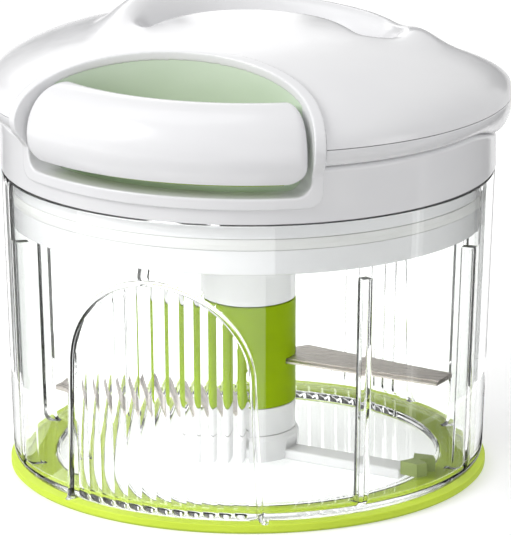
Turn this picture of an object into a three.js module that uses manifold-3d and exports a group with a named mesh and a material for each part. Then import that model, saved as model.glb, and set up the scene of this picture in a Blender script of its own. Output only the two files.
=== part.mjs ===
// A hand food chopper worked by a pull cord: a clear bowl, a blade unit that stands on a pin in it,
// and a white lid with a cord reel inside and a pull handle in a pocket at its front.
// Millimetres, +Z up. The origin is the middle of the underside, and the handle faces -Y.
import * as THREE from 'three';
import { mergeVertices } from 'three/addons/utils/BufferGeometryUtils.js';
import Module from 'manifold-3d';

const wasm = await Module();
wasm.setup();

// Clearances
const running = 0.1;
const fit = 0.15;
const ease = 0.3;
const overrun = 1.0;

// Bowl
const bowlFootRadius = 60.9;
const bowlFlare = 2.4;
const bowlRimRadius = bowlFootRadius + bowlFlare;
const bowlWall = 2.2;
const bowlRimHeight = 79.8;
const plateDrop = 10.3;
const plateHeight = bowlRimHeight - plateDrop;
const bowlFloor = 2.0;
const bowlFloorDrop = 1.8;
const bowlCornerRadius = 3.0;
const bowlFilletRadius = 2.0;
const baffleDepth = 3.0;
const baffleWidth = 2.4;
const baffleDrop = 16.0;
const baffleTop = bowlRimHeight - baffleDrop;
const baffleSink = 0.8;
const baffleAngles = [51, 90, 129, -51, -90, -129];

// Fluted grip panels, front and back
const gripHalfWidth = 25.2;
const gripSpread = 1.3;
const gripDrop = 40.4;
const gripSpring = bowlRimHeight - gripDrop;
const gripBead = 1.5;
const gripBeadProud = 0.8;
const gripBeadSink = 0.6;
const fluteCount = 12;
const fluteRadius = 3.4;
const fluteDepth = 0.65;

// Non-slip ring under the bowl
const ringProud = 0.8;
const ringWidth = 11.5;
const ringOuterRadius = bowlFootRadius + ringProud;
const ringInnerRadius = ringOuterRadius - ringWidth;
const ringHeight = 2.3;
const ringEdge = 0.7;

// Pin in the bowl and the blade unit on it
const pinRadius = 2.5;
const pinSeat = 2.0;
const pinBossRadius = 5.0;
const pinBossTop = 6.0;
const bushRadius = 4.9;
const hubRadius = 12.34;
const hubBottom = 17.4;
const hubDrop = 24.9;
const hubTop = plateHeight - hubDrop;
const pinDrop = 3.6;
const pinTop = hubTop - pinDrop;
const hubSpigotRadius = 7.8;
const hubSpigotLength = 7.4;
const driveHexRadius = 8.6;
const driveHexLength = 14.0;
const footBottom = 3.0;
const footNeckRadius = 10.9;
const bladeThickness = 1.2;
const bladeRoot = 8.6;
const bladeGap = 0.5;
const bladeReach = bowlFootRadius - bowlWall - baffleDepth - bladeGap;
const bladeRootWidth = 14.1;
const bladeTipWidth = 8.6;
const bladeSweep = 4.9;
const bladeLead = 2.8;
const bladeBevel = 1.6;
const upperBladeShare = 29 / 68;
const upperBladeHeight = hubBottom + (hubTop - hubBottom) * upperBladeShare;
const lowerBladeHeight = 13.7;
const armRingRadius = 13.15;
const armRingTop = 10.0;
const armRingEdge = 1.2;
const armAngle = -8;
const armTipGap = 1.2;
const armRootWidth = 6.4;
const armTipWidth = 7.6;
const armThickness = 2.6;
const scraperLength = 6.9;
const scraperHeight = 3.6;
const scraperWidth = 9.0;
const scraperNotch = 3.4;

// Lid shell
const lidWall = 2.2;
const skirtGap = 0.8;
const skirtRadius = bowlRimRadius - bowlWall - skirtGap;
const skirtWall = 2.0;
const skirtLip = 2.8;
const skirtBottom = plateHeight - skirtLip;
const collarProud = 0.2;
const collarRadius = bowlRimRadius + collarProud;
const collarGap = 0.4;
const collarFrontHeight = 14.2;
const collarBackDrop = 5.9;
const collarFrontTop = bowlRimHeight + collarFrontHeight;
const collarBackTop = collarFrontTop - collarBackDrop;
const collarEdge = 1.3;
const neckInset = 1.6;
const neckRadius = collarRadius - neckInset;
const neckStep = 0.2;
const rimOverhang = 4.1;
const rimRadius = collarRadius + rimOverhang;
const flareHeight = 5.5;
const rimFrontHeight = collarFrontTop + flareHeight;
const rimBackDrop = 1.5;
const domeRise = 18.3;
const domeWall = 2.2;
const scoopRing = 26.0;
const scoopHalfWidth = 8.0;
const scoopDepth = 6.0;
const scoopAhead = 8.0;
const gripRidgeRing = 38.5;
const gripRidgeHalfWidth = 9.0;
const gripRidgeRise = 6.0;
const gripTurn = 22;
const seamGap = 0.2;
const plateThickness = 2.0;
const sealLift = 3.5;
const sealLow = plateHeight + sealLift;
const sealHeight = 3.0;
const sealDepth = 1.3;
const sealProud = 0.35;

// Handle pocket in the lid
const pocketHalfWidth = 42.5;
const pocketInset = 1.6;
const pocketCentre = rimRadius - pocketInset;
const reelFlangeRadius = 25.0;
const pocketBackShare = 10 / 41;
const pocketBackRadius = reelFlangeRadius + (pocketCentre - reelFlangeRadius) * pocketBackShare;
const pocketDepth = pocketCentre - pocketBackRadius;
const sillDrop = 6.9;
const pocketSill = collarFrontTop - sillDrop;
const pocketRise = 12.2;
const pocketTop = rimFrontHeight + domeRise + pocketRise;
const pocketCorner = 4.0;
const tubWall = 1.6;
const frameWidth = 3.0;
const frameProud = 1.1;
const rebate = 1.25;

// Pull handle
const handleGap = 1.2;
const handleLift = 2.5;
const handleBottom = pocketSill + handleLift;
const handleInset = 0.9;
const handleSlope = 11.3;
const handleTuck = 3.3;
const handleBackStep = 2.0;
const handleBulgeRadius = rimRadius - handleInset;
const handleTopRadius = handleBulgeRadius - handleSlope;
const handleBottomRadius = handleBulgeRadius - handleTuck;
const handleBackRadius = handleTopRadius - handleBackStep;
const handleHeight = 19.4;
const handleTopHeight = handleBottom + handleHeight;
const handleTopLip = 1.4;
const handleBulgeRise = 7.0;
const handleBulgeHeight = handleBottom + handleBulgeRise;
const handleBackCorner = 3.5;
const handleSweep = 44;
const handleWall = 2.2;
const linerWall = 1.6;
const linerProud = 1.0;
const handleBossRadius = 3.2;
const handleBossTurn = 51.6387;
const handleBossAngle = (handleBossTurn * pocketDepth) / handleBulgeRadius;
const handleBossRise = 9.9;
const handleBossHeight = handleBottom + handleBossRise;
const handleBossInset = 1.3;
const handleBossReach = handleBulgeRadius - handleBossInset;
const handleScrewRadius = 1.3;
const handleScrewHead = 2.5;
const handleScrewHeadHeight = 1.5;
const handleScrewLength = 8.0;

// Cord, reel, recoil spring and one-way drive
const cordRadius = 1.1;
const cordRise = 24.9;
const cordHeight = plateHeight + cordRise;
const windingInner = 16.9;
const windingOuter = 21.3;
const reelFlange = 1.5;
const reelWidth = 8.0;
const reelBore = 5.3;
const reelNeck = 7.5;
const shaftRadius = 5.0;
const shaftTip = 3.0;
const shaftTipLength = 3.8;
const socketBottom = hubTop + ease;
const socketTop = plateHeight - 2 * ease;
const socketCrown = 5.0;
const bushFlange = 1.0;
const bushWall = 2.6;
const bushLip = 1.4;
const springStrip = 0.6;
const springWidth = 9.5;
const springTurns = 5;
const caseRadius = 22.0;
const caseWall = 1.4;
const springGap = 1.1;
const springOuter = caseRadius - caseWall - springGap;
const caseHeight = 13.4;
const ratchetRoot = 8.2;
const ratchetTip = 10.4;
const ratchetTeeth = 10;
const ratchetHeight = 2.8;
const pawlPivot = 17.0;
const pawlPinRadius = 1.3;
const pawlReach = 10.4;
const pawlLean = 207;
const pawlEye = 2.4;
const pawlNose = 0.5;
const chassisThickness = 2.0;
const chassisMargin = 1.0;
const postRadius = 3.6;
const postShare = 1 / 3;
const postAngles = [75, 180, -75];
const screwRadius = 1.5;
const screwHead = 2.9;
const screwHeadHeight = 2.0;
const screwLength = 10.0;
const domePostInset = 9.9;
const domePostCircle = neckRadius - domePostInset;
const postCircle = reelFlangeRadius + (domePostCircle - reelFlangeRadius) * postShare;
const chassisRadius = postCircle + postRadius + chassisMargin;
const domePostAngles = [105, 180, -105];
const domePostLift = 4.5;
const domePostBottom = plateHeight + domePostLift;
const eyeletRadius = 2.4;
const eyeletFlange = 3.4;
const eyeletLip = 0.9;
const knotRadius = 2.2;
const knotLength = 3.0;
const runBend = 1.3;

// Steps around curves
const aroundSteps = 48;
const hubSteps = 30;
const smallSteps = 16;
const tinySteps = 10;
const pocketSteps = 38;
const flareSteps = 3;
const sectorSteps = 13;

const degree = Math.PI / 180;

// Geometry helpers

// A point at a radius and a bearing: 0 degrees is the front, -Y, and 90 is +X.
function bearing(radius, angle, height) {
  return new THREE.Vector3(radius * Math.sin(angle), -radius * Math.cos(angle), height);
}

function smooth(from, to, value) {
  const share = Math.min(1, Math.max(0, (value - from) / (to - from)));
  return share * share * (3 - 2 * share);
}

function geometryOf(points, faces) {
  const geometry = new THREE.BufferGeometry();
  geometry.setAttribute('position', new THREE.Float32BufferAttribute(points.flatMap((p) => [p.x, p.y, p.z]), 3));
  geometry.setIndex(faces);
  return geometry;
}

// A closed body from rings of points, each with the same count: capped at both ends, or joined in a loop.
function fromRings(rings, looped = false) {
  const count = rings[0].length;
  const points = rings.flat();
  const faces = [];
  const spans = looped ? rings.length : rings.length - 1;
  for (let ring = 0; ring < spans; ring += 1) {
    const low = ring * count;
    const high = ((ring + 1) % rings.length) * count;
    for (let i = 0; i < count; i += 1) {
      const j = (i + 1) % count;
      faces.push(low + i, low + j, high + j, low + i, high + j, high + i);
    }
  }
  if (!looped) {
    for (const [ring, flip] of [[rings[0], true], [rings.at(-1), false]]) {
      const base = flip ? 0 : (rings.length - 1) * count;
      const middle = ring.reduce((sum, p) => sum.add(p), new THREE.Vector3()).divideScalar(count);
      points.push(middle);
      for (let i = 0; i < count; i += 1) {
        const j = (i + 1) % count;
        faces.push(points.length - 1, base + (flip ? j : i), base + (flip ? i : j));
      }
    }
  }
  return geometryOf(points, faces);
}

// A body of revolution about Z from [radius, height] pairs that start and end on the axis or close up.
function turned(pairs, steps = aroundSteps) {
  const profile = pairs.map(([radius, height]) => new THREE.Vector2(radius, height));
  if (pairs[0][0] > 0) profile.push(profile[0].clone());
  return new THREE.LatheGeometry(profile, steps).rotateX(Math.PI / 2);
}

function rod(radius, bottom, top, steps = smallSteps) {
  return new THREE.CylinderGeometry(radius, radius, top - bottom, steps)
    .rotateX(Math.PI / 2)
    .translate(0, 0, (bottom + top) / 2);
}

// An outline in the XY plane, raised from a height by a thickness.
function raised(outline, bottom, thickness) {
  const shape = new THREE.Shape(outline.map(([x, y]) => new THREE.Vector2(x, y)));
  return new THREE.ExtrudeGeometry(shape, { depth: thickness, bevelEnabled: false }).translate(0, 0, bottom);
}

// An outline in a plane of bearing and height, [radius, height] pairs, thick across the bearing.
function rib(outline, angle, width) {
  const shape = new THREE.Shape(outline.map(([r, z]) => new THREE.Vector2(r, z)));
  return new THREE.ExtrudeGeometry(shape, { depth: width, bevelEnabled: false })
    .translate(0, 0, -width / 2)
    .rotateX(Math.PI / 2)
    .rotateZ(angle - Math.PI / 2);
}

function solid(geometry) {
  const bare = geometry.clone();
  bare.deleteAttribute('normal');
  bare.deleteAttribute('uv');
  const merged = mergeVertices(bare, ease / 1000);
  const place = merged.attributes.position;
  const faces = [];
  for (let i = 0; i < merged.index.count; i += 3) {
    const face = [0, 1, 2].map((k) => merged.index.getX(i + k));
    if (new Set(face).size === 3) faces.push(face);
  }
  const [a, b, c] = [0, 1, 2].map(() => new THREE.Vector3());
  const volume = faces.reduce((sum, face) => {
    [a, b, c].forEach((corner, k) => corner.fromBufferAttribute(place, face[k]));
    return sum + a.dot(b.cross(c));
  }, 0);
  const triVerts = new Uint32Array((volume < 0 ? faces.map(([i, j, k]) => [i, k, j]) : faces).flat());
  return new wasm.Manifold(new wasm.Mesh({ numProp: 3, vertProperties: place.array, triVerts }));
}

function geometryFrom(body) {
  const mesh = body.getMesh();
  const geometry = new THREE.BufferGeometry();
  geometry.setAttribute('position', new THREE.BufferAttribute(mesh.vertProperties, 3));
  geometry.setIndex(new THREE.BufferAttribute(mesh.triVerts, 1));
  return geometry;
}

const cut = (body, ...tools) => tools.reduce((left, tool) => left.subtract(tool), body);
const join = (...bodies) => bodies.reduce((sum, body) => sum.add(body));
const common = (...bodies) => bodies.reduce((sum, body) => sum.intersect(body));
const drilled = (body, radius, bottom, top, x = 0, y = 0) =>
  cut(body, solid(rod(radius, bottom, top).translate(x, y, 0)));

// Materials

function finish(color, roughness, metalness = 0, opacity = 1) {
  return new THREE.MeshStandardMaterial({ color, roughness, metalness, opacity, transparent: opacity < 1 });
}

const clear = finish(0xf2f5f4, 0.05, 0, 0.3);
const white = finish(0xeeedee, 0.25);
const green = finish(0xa3c31c, 0.4);
const rubber = finish(0xb5d23c, 0.65);
const paleGreen = finish(0xcfe0c6, 0.35);
const greyGreen = finish(0x6f7d5a, 0.6);
const seal = finish(0xe8e8e4, 0.5);
const steel = finish(0xa69f9b, 0.3, 1);
const black = finish(0x33343a, 0.5);
const cordWhite = finish(0xe9e6da, 0.8);

const chopper = new THREE.Group();

function add(name, body, material) {
  const geometry = body.isBufferGeometry ? geometryFrom(solid(body)) : geometryFrom(body);
  const mesh = new THREE.Mesh(geometry, material);
  mesh.name = name;
  chopper.add(mesh);
  return mesh;
}

// Bowl: drafted wall, floor that drops inside the ring, arch panels and six baffles

const bowlFootHeight = ringHeight + running;
const draft = (bowlRimRadius - bowlFootRadius) / (bowlRimHeight - bowlFootHeight);
const bowlOuter = (height) => bowlFootRadius + draft * (height - bowlFootHeight);
const bowlInner = (height) => bowlOuter(height) - bowlWall;
const floorTop = bowlFootHeight + bowlFloor;
const wellTop = floorTop - bowlFloorDrop;
const wellBottom = bowlFootHeight - bowlFloorDrop;
const wellRadius = ringInnerRadius - ease;
const armReach = wellRadius - bowlWall - armTipGap;
const scraperReach = armReach + scraperLength;

function quarterArc(centreR, centreZ, radius, from, to, steps) {
  return Array.from({ length: steps + 1 }, (_, k) => {
    const angle = (from + ((to - from) * k) / steps) * degree;
    return [centreR + radius * Math.cos(angle), centreZ + radius * Math.sin(angle)];
  });
}

function bowlShell() {
  const corner = bowlCornerRadius;
  const fillet = bowlFilletRadius;
  const innerFoot = bowlInner(floorTop + fillet) - fillet;
  return solid(turned([
    [0, wellBottom],
    [wellRadius, wellBottom],
    [wellRadius, bowlFootHeight],
    ...quarterArc(bowlFootRadius - corner, bowlFootHeight + corner, corner, -90, 0, 3),
    [bowlRimRadius, bowlRimHeight],
    [bowlRimRadius - bowlWall, bowlRimHeight],
    ...quarterArc(innerFoot, floorTop + fillet, fillet, 0, -90, 2),
    [wellRadius - bowlWall, floorTop],
    [wellRadius - bowlWall, wellTop],
    [pinBossRadius, wellTop],
    [pinBossRadius, pinBossTop],
    [pinRadius + running, pinBossTop],
    [pinRadius + running, pinSeat - running],
    [0, pinSeat - running],
  ]));
}

// The arch of a grip panel as a prism through the wall, front or back, drawn in by an inset.
function archPrism(inset, side) {
  const half = gripHalfWidth - inset;
  const foot = bowlFootHeight + running;
  const shape = new THREE.Shape();
  shape.moveTo(-half - gripSpread, foot);
  shape.lineTo(half + gripSpread, foot);
  shape.lineTo(half, gripSpring);
  shape.absarc(0, gripSpring, half, 0, Math.PI, false);
  shape.lineTo(-half - gripSpread, foot);
  const depth = bowlRimRadius / 2 + overrun;
  return solid(new THREE.ExtrudeGeometry(shape, { depth, bevelEnabled: false, curveSegments: 10 })
    .rotateX(Math.PI / 2)
    .translate(0, -bowlRimRadius / 2, 0)
    .rotateZ(side));
}

function coneShell(inner, outer) {
  const low = bowlFootHeight;
  return solid(turned([
    [bowlFootRadius + inner, low],
    [bowlFootRadius + outer, low],
    [bowlRimRadius + outer, bowlRimHeight],
    [bowlRimRadius + inner, bowlRimHeight],
  ]));
}

function flutes(side) {
  const middle = (bowlFootHeight + bowlRimHeight) / 2;
  const lean = Math.atan(draft);
  const halfAngle = Math.asin((gripHalfWidth - gripBead) / bowlOuter(middle));
  const tools = Array.from({ length: fluteCount }, (_, k) => {
    const angle = halfAngle * ((2 * k + 1) / fluteCount - 1);
    const reach = bowlOuter(middle) + fluteRadius - fluteDepth;
    return solid(rod(fluteRadius, -bowlRimHeight, bowlRimHeight, 16)
      .rotateX(lean)
      .translate(0, -reach, middle)
      .rotateZ(angle + side));
  });
  return common(join(...tools), archPrism(gripBead, side));
}

function bowl() {
  let body = bowlShell();
  for (const side of [0, Math.PI]) {
    const bead = common(cut(archPrism(0, side), archPrism(gripBead, side)), coneShell(-gripBeadSink, gripBeadProud));
    body = cut(join(body, bead), flutes(side));
  }
  for (const angle of baffleAngles) {
    const low = floorTop - bowlFloor / 2;
    const outline = [
      [bowlInner(low) - baffleDepth, low],
      [bowlInner(low) + baffleSink, low],
      [bowlInner(baffleTop) + baffleSink, baffleTop],
      [bowlInner(baffleTop) - baffleDepth, baffleTop],
    ];
    body = join(body, solid(rib(outline, angle * degree, baffleWidth)));
  }
  return body;
}

add('bowl', bowl(), clear);
add('base_ring', turned([
  [ringInnerRadius, 0],
  [ringOuterRadius - ringEdge, 0],
  [ringOuterRadius, ringEdge],
  [ringOuterRadius, ringHeight],
  [ringInnerRadius, ringHeight],
]), rubber);
add('pivot_pin', turned([
  [0, pinSeat],
  [pinRadius, pinSeat],
  [pinRadius, pinTop - pinRadius / 2],
  [pinRadius / 2, pinTop],
  [0, pinTop],
], smallSteps), steel);

// Blade unit

const hubBore = bushRadius + running;
const footTop = hubBottom - running;
const spigotBottom = hubBottom - hubSpigotLength;
const slotRoot = bladeRoot - fit;

// A blade's outline, pointing along +X with its cutting edge towards -Y.
const bladeOutline = [
  [bladeRoot, -bladeLead],
  [bladeReach - bladeTipWidth / 8, -bladeLead - bladeSweep],
  [bladeReach, bladeTipWidth - bladeLead - bladeSweep],
  [hubRadius, bladeRootWidth - bladeLead],
  [bladeRoot, bladeRootWidth / 2],
];

function blade(height, turn) {
  const plate = solid(raised(bladeOutline, height - bladeThickness / 2, bladeThickness));
  const run = bladeReach - bladeRoot;
  const lean = Math.atan2(bladeSweep, run);
  const bevel = solid(new THREE.BoxGeometry(2 * run, bladeBevel, bladeThickness)
    .rotateX(Math.atan2(bladeThickness / 2, bladeBevel))
    .translate(run / 2, 0, bladeThickness / 2)
    .rotateZ(-lean)
    .translate(bladeRoot, -bladeLead, height));
  return cut(plate, bevel).rotate([0, 0, turn]);
}

function bladeSlot(height, turn) {
  const depth = bladeRootWidth + overrun;
  return solid(new THREE.BoxGeometry(hubRadius, depth, bladeThickness + 2 * fit)
    .translate(slotRoot + hubRadius / 2, depth / 2 - bladeLead - 2 * ease, height)
    .rotateZ(turn * degree));
}

const driveHex = (radius, bottom, top) => solid(rod(radius, bottom, top, 6));

function bladeHub() {
  const sleeve = join(
    solid(rod(hubRadius, hubBottom, hubTop, hubSteps)),
    solid(rod(hubSpigotRadius, spigotBottom, hubBottom + overrun, hubSteps)),
    driveHex(driveHexRadius, hubTop - overrun, hubTop + driveHexLength),
  );
  return cut(drilled(sleeve, hubBore, spigotBottom - overrun, pinTop + 2 * ease), bladeSlot(upperBladeHeight, 0));
}

function footTube() {
  const tube = solid(turned([
    [pinBossRadius + ease, footBottom],
    [footNeckRadius, footBottom],
    [footNeckRadius, armRingTop + running],
    [hubRadius, armRingTop + running],
    [hubRadius, footTop],
    [hubSpigotRadius + fit, footTop],
    [hubSpigotRadius + fit, spigotBottom - running],
    [pinBossRadius + ease, spigotBottom - running],
  ], hubSteps));
  return cut(tube, bladeSlot(lowerBladeHeight, 180));
}

add('blade_hub', bladeHub(), green);
add('foot_tube', footTube(), white);
add('hub_bush', turned([
  [pinRadius + running, pinBossTop + running],
  [bushRadius, pinBossTop + running],
  [bushRadius, pinTop],
  [pinRadius + running, pinTop],
], smallSteps), white);
add('upper_blade', blade(upperBladeHeight, 0), steel);
add('lower_blade', blade(lowerBladeHeight, 180), steel);

function mixingArm() {
  const ring = solid(turned([
    [footNeckRadius + fit, footBottom + running],
    [armRingRadius, footBottom + running],
    [armRingRadius, armRingTop - armRingEdge],
    [armRingRadius - armRingEdge / 2, armRingTop],
    [footNeckRadius + fit, armRingTop],
  ], hubSteps));
  const start = (footNeckRadius + armRingRadius) / 2;
  const bar = solid(raised([
    [start, -armRootWidth / 2],
    [armReach, -armTipWidth / 2],
    [armReach, armTipWidth / 2],
    [start, armRootWidth / 2],
  ], footBottom + running, armThickness));
  return join(ring, bar).rotate([0, 0, armAngle]);
}

// A chevron plough at the arm's end, standing up to sweep the floor.
function scraper() {
  const back = armReach + fit;
  const plough = raised([
    [back, -armTipWidth / 2],
    [scraperReach - scraperNotch / 2, -scraperWidth / 2],
    [scraperReach, -scraperWidth / 4],
    [scraperReach - scraperNotch, 0],
    [scraperReach, scraperWidth / 4],
    [scraperReach - scraperNotch / 2, scraperWidth / 2],
    [back, armTipWidth / 2],
    [back + scraperNotch / 2, 0],
  ], floorTop + ease, scraperHeight);
  return solid(plough).rotate([0, 0, armAngle]);
}

add('mixing_arm', mixingArm(), white);
add('arm_scraper', scraper(), greyGreen);

// Lid outline: collar, flare and dome, as [radius, height] pairs at a bearing

const collarBottom = bowlRimHeight + collarGap;
const backness = (angle, from, to) => smooth(from, to, Math.abs(angle) / degree);
const collarTopAt = (angle) => collarFrontTop - (collarFrontTop - collarBackTop) * backness(angle, 82, 114);
const rimHeightAt = (angle) => rimFrontHeight - rimBackDrop * backness(angle, 100, 160);
const domeShares = [0.985, 0.93, 0.84, 0.74, 0.65, 0.57, 0.49, 0.41, 0.33, 0.24, 0.14, 0.05];
const backFallShare = 0.6;

// The finger scoop, a crescent around the back of the crown, and the ridge that rises behind it.
function gripRelief(x, y) {
  const middle = bearing(scoopAhead, gripTurn * degree, 0);
  const radius = Math.hypot(x - middle.x, y - middle.y);
  const ahead = Math.atan2(x - middle.x, middle.y - y) - gripTurn * degree;
  const turn = Math.atan2(Math.sin(ahead), Math.cos(ahead));
  const scoop = 1 - smooth(0.3, 1, Math.abs(radius - scoopRing) / scoopHalfWidth);
  const ridge = 1 - smooth(0, 1, Math.abs(radius - gripRidgeRing) / gripRidgeHalfWidth);
  return gripRidgeRise * ridge * backness(turn, 82, 108) - scoopDepth * scoop * backness(turn, 66, 94);
}

function domeHeight(x, y) {
  const share = Math.min(1, Math.hypot(x, y) / rimRadius);
  const angle = Math.atan2(x, -y);
  const fall = backFallShare * backness(angle, 105, 140) * smooth(0.35, 0.8, share);
  const edge = rimFrontHeight - rimBackDrop * backness(angle, 100, 160) * share * share;
  return edge + domeRise * Math.sqrt(1 - share * share) * (1 - fall) + gripRelief(x, y);
}

function lidLine(angle) {
  const top = collarTopAt(angle);
  const rim = rimHeightAt(angle);
  const line = [
    [collarRadius, collarBottom],
    ...quarterArc(collarRadius - collarEdge, top - collarEdge, collarEdge, 0, 90, 2),
    [neckRadius, top + neckStep],
  ];
  for (let k = 1; k <= flareSteps; k += 1) {
    const turn = ((k / flareSteps) * Math.PI) / 2;
    line.push([
      neckRadius + (rimRadius - neckRadius) * Math.sin(turn),
      rim - (rim - top - neckStep) * Math.cos(turn),
    ]);
  }
  const rimIndex = line.length - 1;
  for (const share of domeShares) {
    const point = bearing(rimRadius * share, angle, 0);
    line.push([rimRadius * share, domeHeight(point.x, point.y)]);
  }
  return { line, rimIndex };
}

// A line of [radius, height] pairs moved outwards by a distance along its own normals.
function offsetLine(line, distance) {
  return line.map(([r, z], k) => {
    const [r0, z0] = line[Math.max(0, k - 1)];
    const [r1, z1] = line[Math.min(line.length - 1, k + 1)];
    const length = Math.hypot(r1 - r0, z1 - z0);
    return [Math.max(0, r + ((z1 - z0) / length) * distance), z - ((r1 - r0) / length) * distance];
  });
}

const lidAngles = Array.from({ length: aroundSteps }, (_, k) => (2 * Math.PI * k) / aroundSteps - Math.PI);

// Rings around the lid from one line of pairs for each bearing.
function lidRings(lineAt) {
  const lines = lidAngles.map(lineAt);
  return lines[0].map((_, j) => lidAngles.map((angle, i) => bearing(lines[i][j][0], angle, lines[i][j][1])));
}

// The whole outside of the lid as a solid, without the groove under its flare, grown or shrunk by a distance.
function envelope(distance) {
  return solid(fromRings(lidRings((angle) => {
    const { line, rimIndex } = lidLine(angle);
    return offsetLine(line.filter((_, k) => k < 2 || k >= rimIndex - 1), distance);
  })));
}

// The handle pocket: a pit of elliptical plan that opens at the front and the top, with a round lower corner.
function pocketRing(grow, height) {
  return Array.from({ length: pocketSteps }, (_, k) => {
    const turn = (2 * Math.PI * (k + 0.5)) / pocketSteps;
    return new THREE.Vector3(
      (pocketHalfWidth + grow) * Math.cos(turn),
      (pocketDepth + grow) * Math.sin(turn) - pocketCentre,
      height,
    );
  });
}

function pocket(grow, floor, top = pocketTop) {
  const corner = pocketCorner;
  const rings = [0, 1, 2, 3].map((k) => {
    const turn = ((k / 3) * Math.PI) / 2;
    return pocketRing(grow - corner * (1 - Math.sin(turn)), floor + corner * (1 - Math.cos(turn)));
  });
  return solid(fromRings([...rings, pocketRing(grow, top)]));
}

const pocketCut = pocket(tubWall + fit, pocketSill - tubWall - fit);
const insetShell = envelope(-rebate);
const frameRebate = cut(pocket(frameWidth + fit, pocketSill - frameWidth - fit), insetShell);
const plateTop = plateHeight + plateThickness;

// Lid base: skirt, floor plate, collar and flare in one moulding, with posts for the chassis

const reelBottom = cordHeight - reelWidth / 2 - reelFlange;
const reelTop = cordHeight + reelWidth / 2 + reelFlange;
const ratchetBottom = reelTop + ease;
const chassisBottom = ratchetBottom + ratchetHeight + ease;
const postTop = chassisBottom - running;
const lidBore = shaftRadius + running + bushWall;

function lidBase() {
  const rings = lidRings((angle) => {
    const { line, rimIndex } = lidLine(angle);
    const outside = line.slice(0, rimIndex + 1);
    outside[rimIndex] = [rimRadius, rimHeightAt(angle) - seamGap];
    const neckHeight = collarTopAt(angle) + lidWall;
    const inner = skirtRadius - skirtWall;
    return [
      [skirtRadius, skirtBottom],
      [skirtRadius, sealLow],
      [skirtRadius - sealDepth, sealLow],
      [skirtRadius - sealDepth, sealLow + sealHeight],
      [skirtRadius, sealLow + sealHeight],
      [skirtRadius, collarBottom],
      ...outside,
      [rimRadius - lidWall, rimHeightAt(angle) - seamGap],
      [neckRadius - lidWall, neckHeight],
      [inner, collarBottom],
      [inner, plateTop],
      [lidBore, plateTop],
      [lidBore, plateHeight],
      [inner, plateHeight],
      [inner, skirtBottom],
    ];
  });
  let body = solid(fromRings(rings, true));
  for (const angle of postAngles) {
    const { x, y } = bearing(postCircle, angle * degree, 0);
    body = join(body, solid(rod(postRadius, plateTop - plateThickness / 2, postTop).translate(x, y, 0)));
    body = drilled(body, screwRadius + fit, postTop - screwLength - ease, postTop + overrun, x, y);
  }
  for (const angle of domePostAngles) {
    const { x, y } = bearing(domePostCircle, angle * degree, 0);
    body = drilled(body, screwRadius + fit, plateHeight - overrun, plateTop + overrun, x, y);
  }
  return cut(body, pocketCut, frameRebate);
}

add('lid_base', lidBase(), white);

// Dome: the top cover, a shell with three posts that the lower screws bite into

function lidDome() {
  const lines = lidRings((angle) => {
    const { line, rimIndex } = lidLine(angle);
    const outside = line.slice(rimIndex);
    const inside = outside.map(([radius, height]) => {
      const share = radius / rimRadius;
      return [radius - domeWall * share, height - domeWall * Math.sqrt(1 - share * share)];
    });
    return [...inside.reverse(), ...outside];
  });
  const shell = solid(fromRings(lines));
  const posts = domePostAngles.map((angle) => {
    const { x, y } = bearing(domePostCircle, angle * degree, 0);
    const low = solid(rod(postRadius, domePostBottom, collarFrontTop).translate(x, y, 0));
    const high = solid(rod(postRadius, collarBackTop, pocketTop).translate(x, y, 0));
    return join(low, common(high, envelope(-domeWall / 2)));
  });
  let body = join(shell, ...posts);
  for (const angle of domePostAngles) {
    const { x, y } = bearing(domePostCircle, angle * degree, 0);
    body = drilled(body, screwRadius + fit, domePostBottom - overrun, domePostBottom + screwLength, x, y);
  }
  return cut(body, pocketCut, frameRebate);
}

add('lid_dome', lidDome(), white);
add('pocket_tub', drilledBack(common(
  cut(pocket(tubWall, pocketSill - tubWall), pocket(0, pocketSill)),
  envelope(-rebate - fit),
)), paleGreen);
add('pocket_frame', cut(common(
  cut(pocket(frameWidth, pocketSill - frameWidth), pocket(0, pocketSill)),
  envelope(frameProud),
), envelope(-rebate + fit)), white);
add('lid_seal', turned([
  [skirtRadius - sealDepth + running, sealLow + running],
  [skirtRadius + sealProud / 2, sealLow + running],
  [skirtRadius + sealProud, sealLow + sealHeight / 2],
  [skirtRadius + sealProud / 2, sealLow + sealHeight - running],
  [skirtRadius - sealDepth + running, sealLow + sealHeight - running],
]), seal);

// The hole in the pocket's back wall that the cord's eyelet sits in.
function drilledBack(body) {
  const wall = pocketDepth - pocketCentre;
  const hole = solid(rod(eyeletRadius + fit, -tubWall - overrun, tubWall + overrun)
    .rotateX(Math.PI / 2)
    .translate(0, wall + tubWall / 2, cordHeight));
  return cut(body, hole);
}

// A rod along Y, at a place across and up.
function lyingRod(radius, from, to, across, height, steps = smallSteps) {
  return solid(rod(radius, -to, -from, steps).rotateX(Math.PI / 2).translate(across, 0, height));
}

// A rod along the radius at a bearing, between two distances from the axis.
function radialRod(radius, from, to, angle, height, steps = tinySteps) {
  return solid(rod(radius, from, to, steps)
    .rotateX(Math.PI / 2)
    .translate(0, 0, height)
    .rotateZ(angle * degree));
}

const pocketBack = pocketDepth - pocketCentre;
const eyeletInside = pocketBack + tubWall + eyeletLip;
const eyeletOutside = pocketBack - eyeletLip - ease;

add('cord_eyelet', cut(
  join(
    lyingRod(eyeletRadius, pocketBack - eyeletLip, eyeletInside, 0, cordHeight),
    lyingRod(eyeletFlange, eyeletOutside, pocketBack - ease, 0, cordHeight),
  ),
  lyingRod(cordRadius + ease, eyeletOutside - overrun, eyeletInside + overrun, 0, cordHeight, tinySteps),
), seal);

// Bush in the floor plate and the cup of the recoil spring on top of it

const bushOuter = lidBore - fit;
const bushSeat = plateTop + running;
const bushTop = bushSeat + bushFlange;
const caseHole = bushOuter + bushLip + ease;

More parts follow.
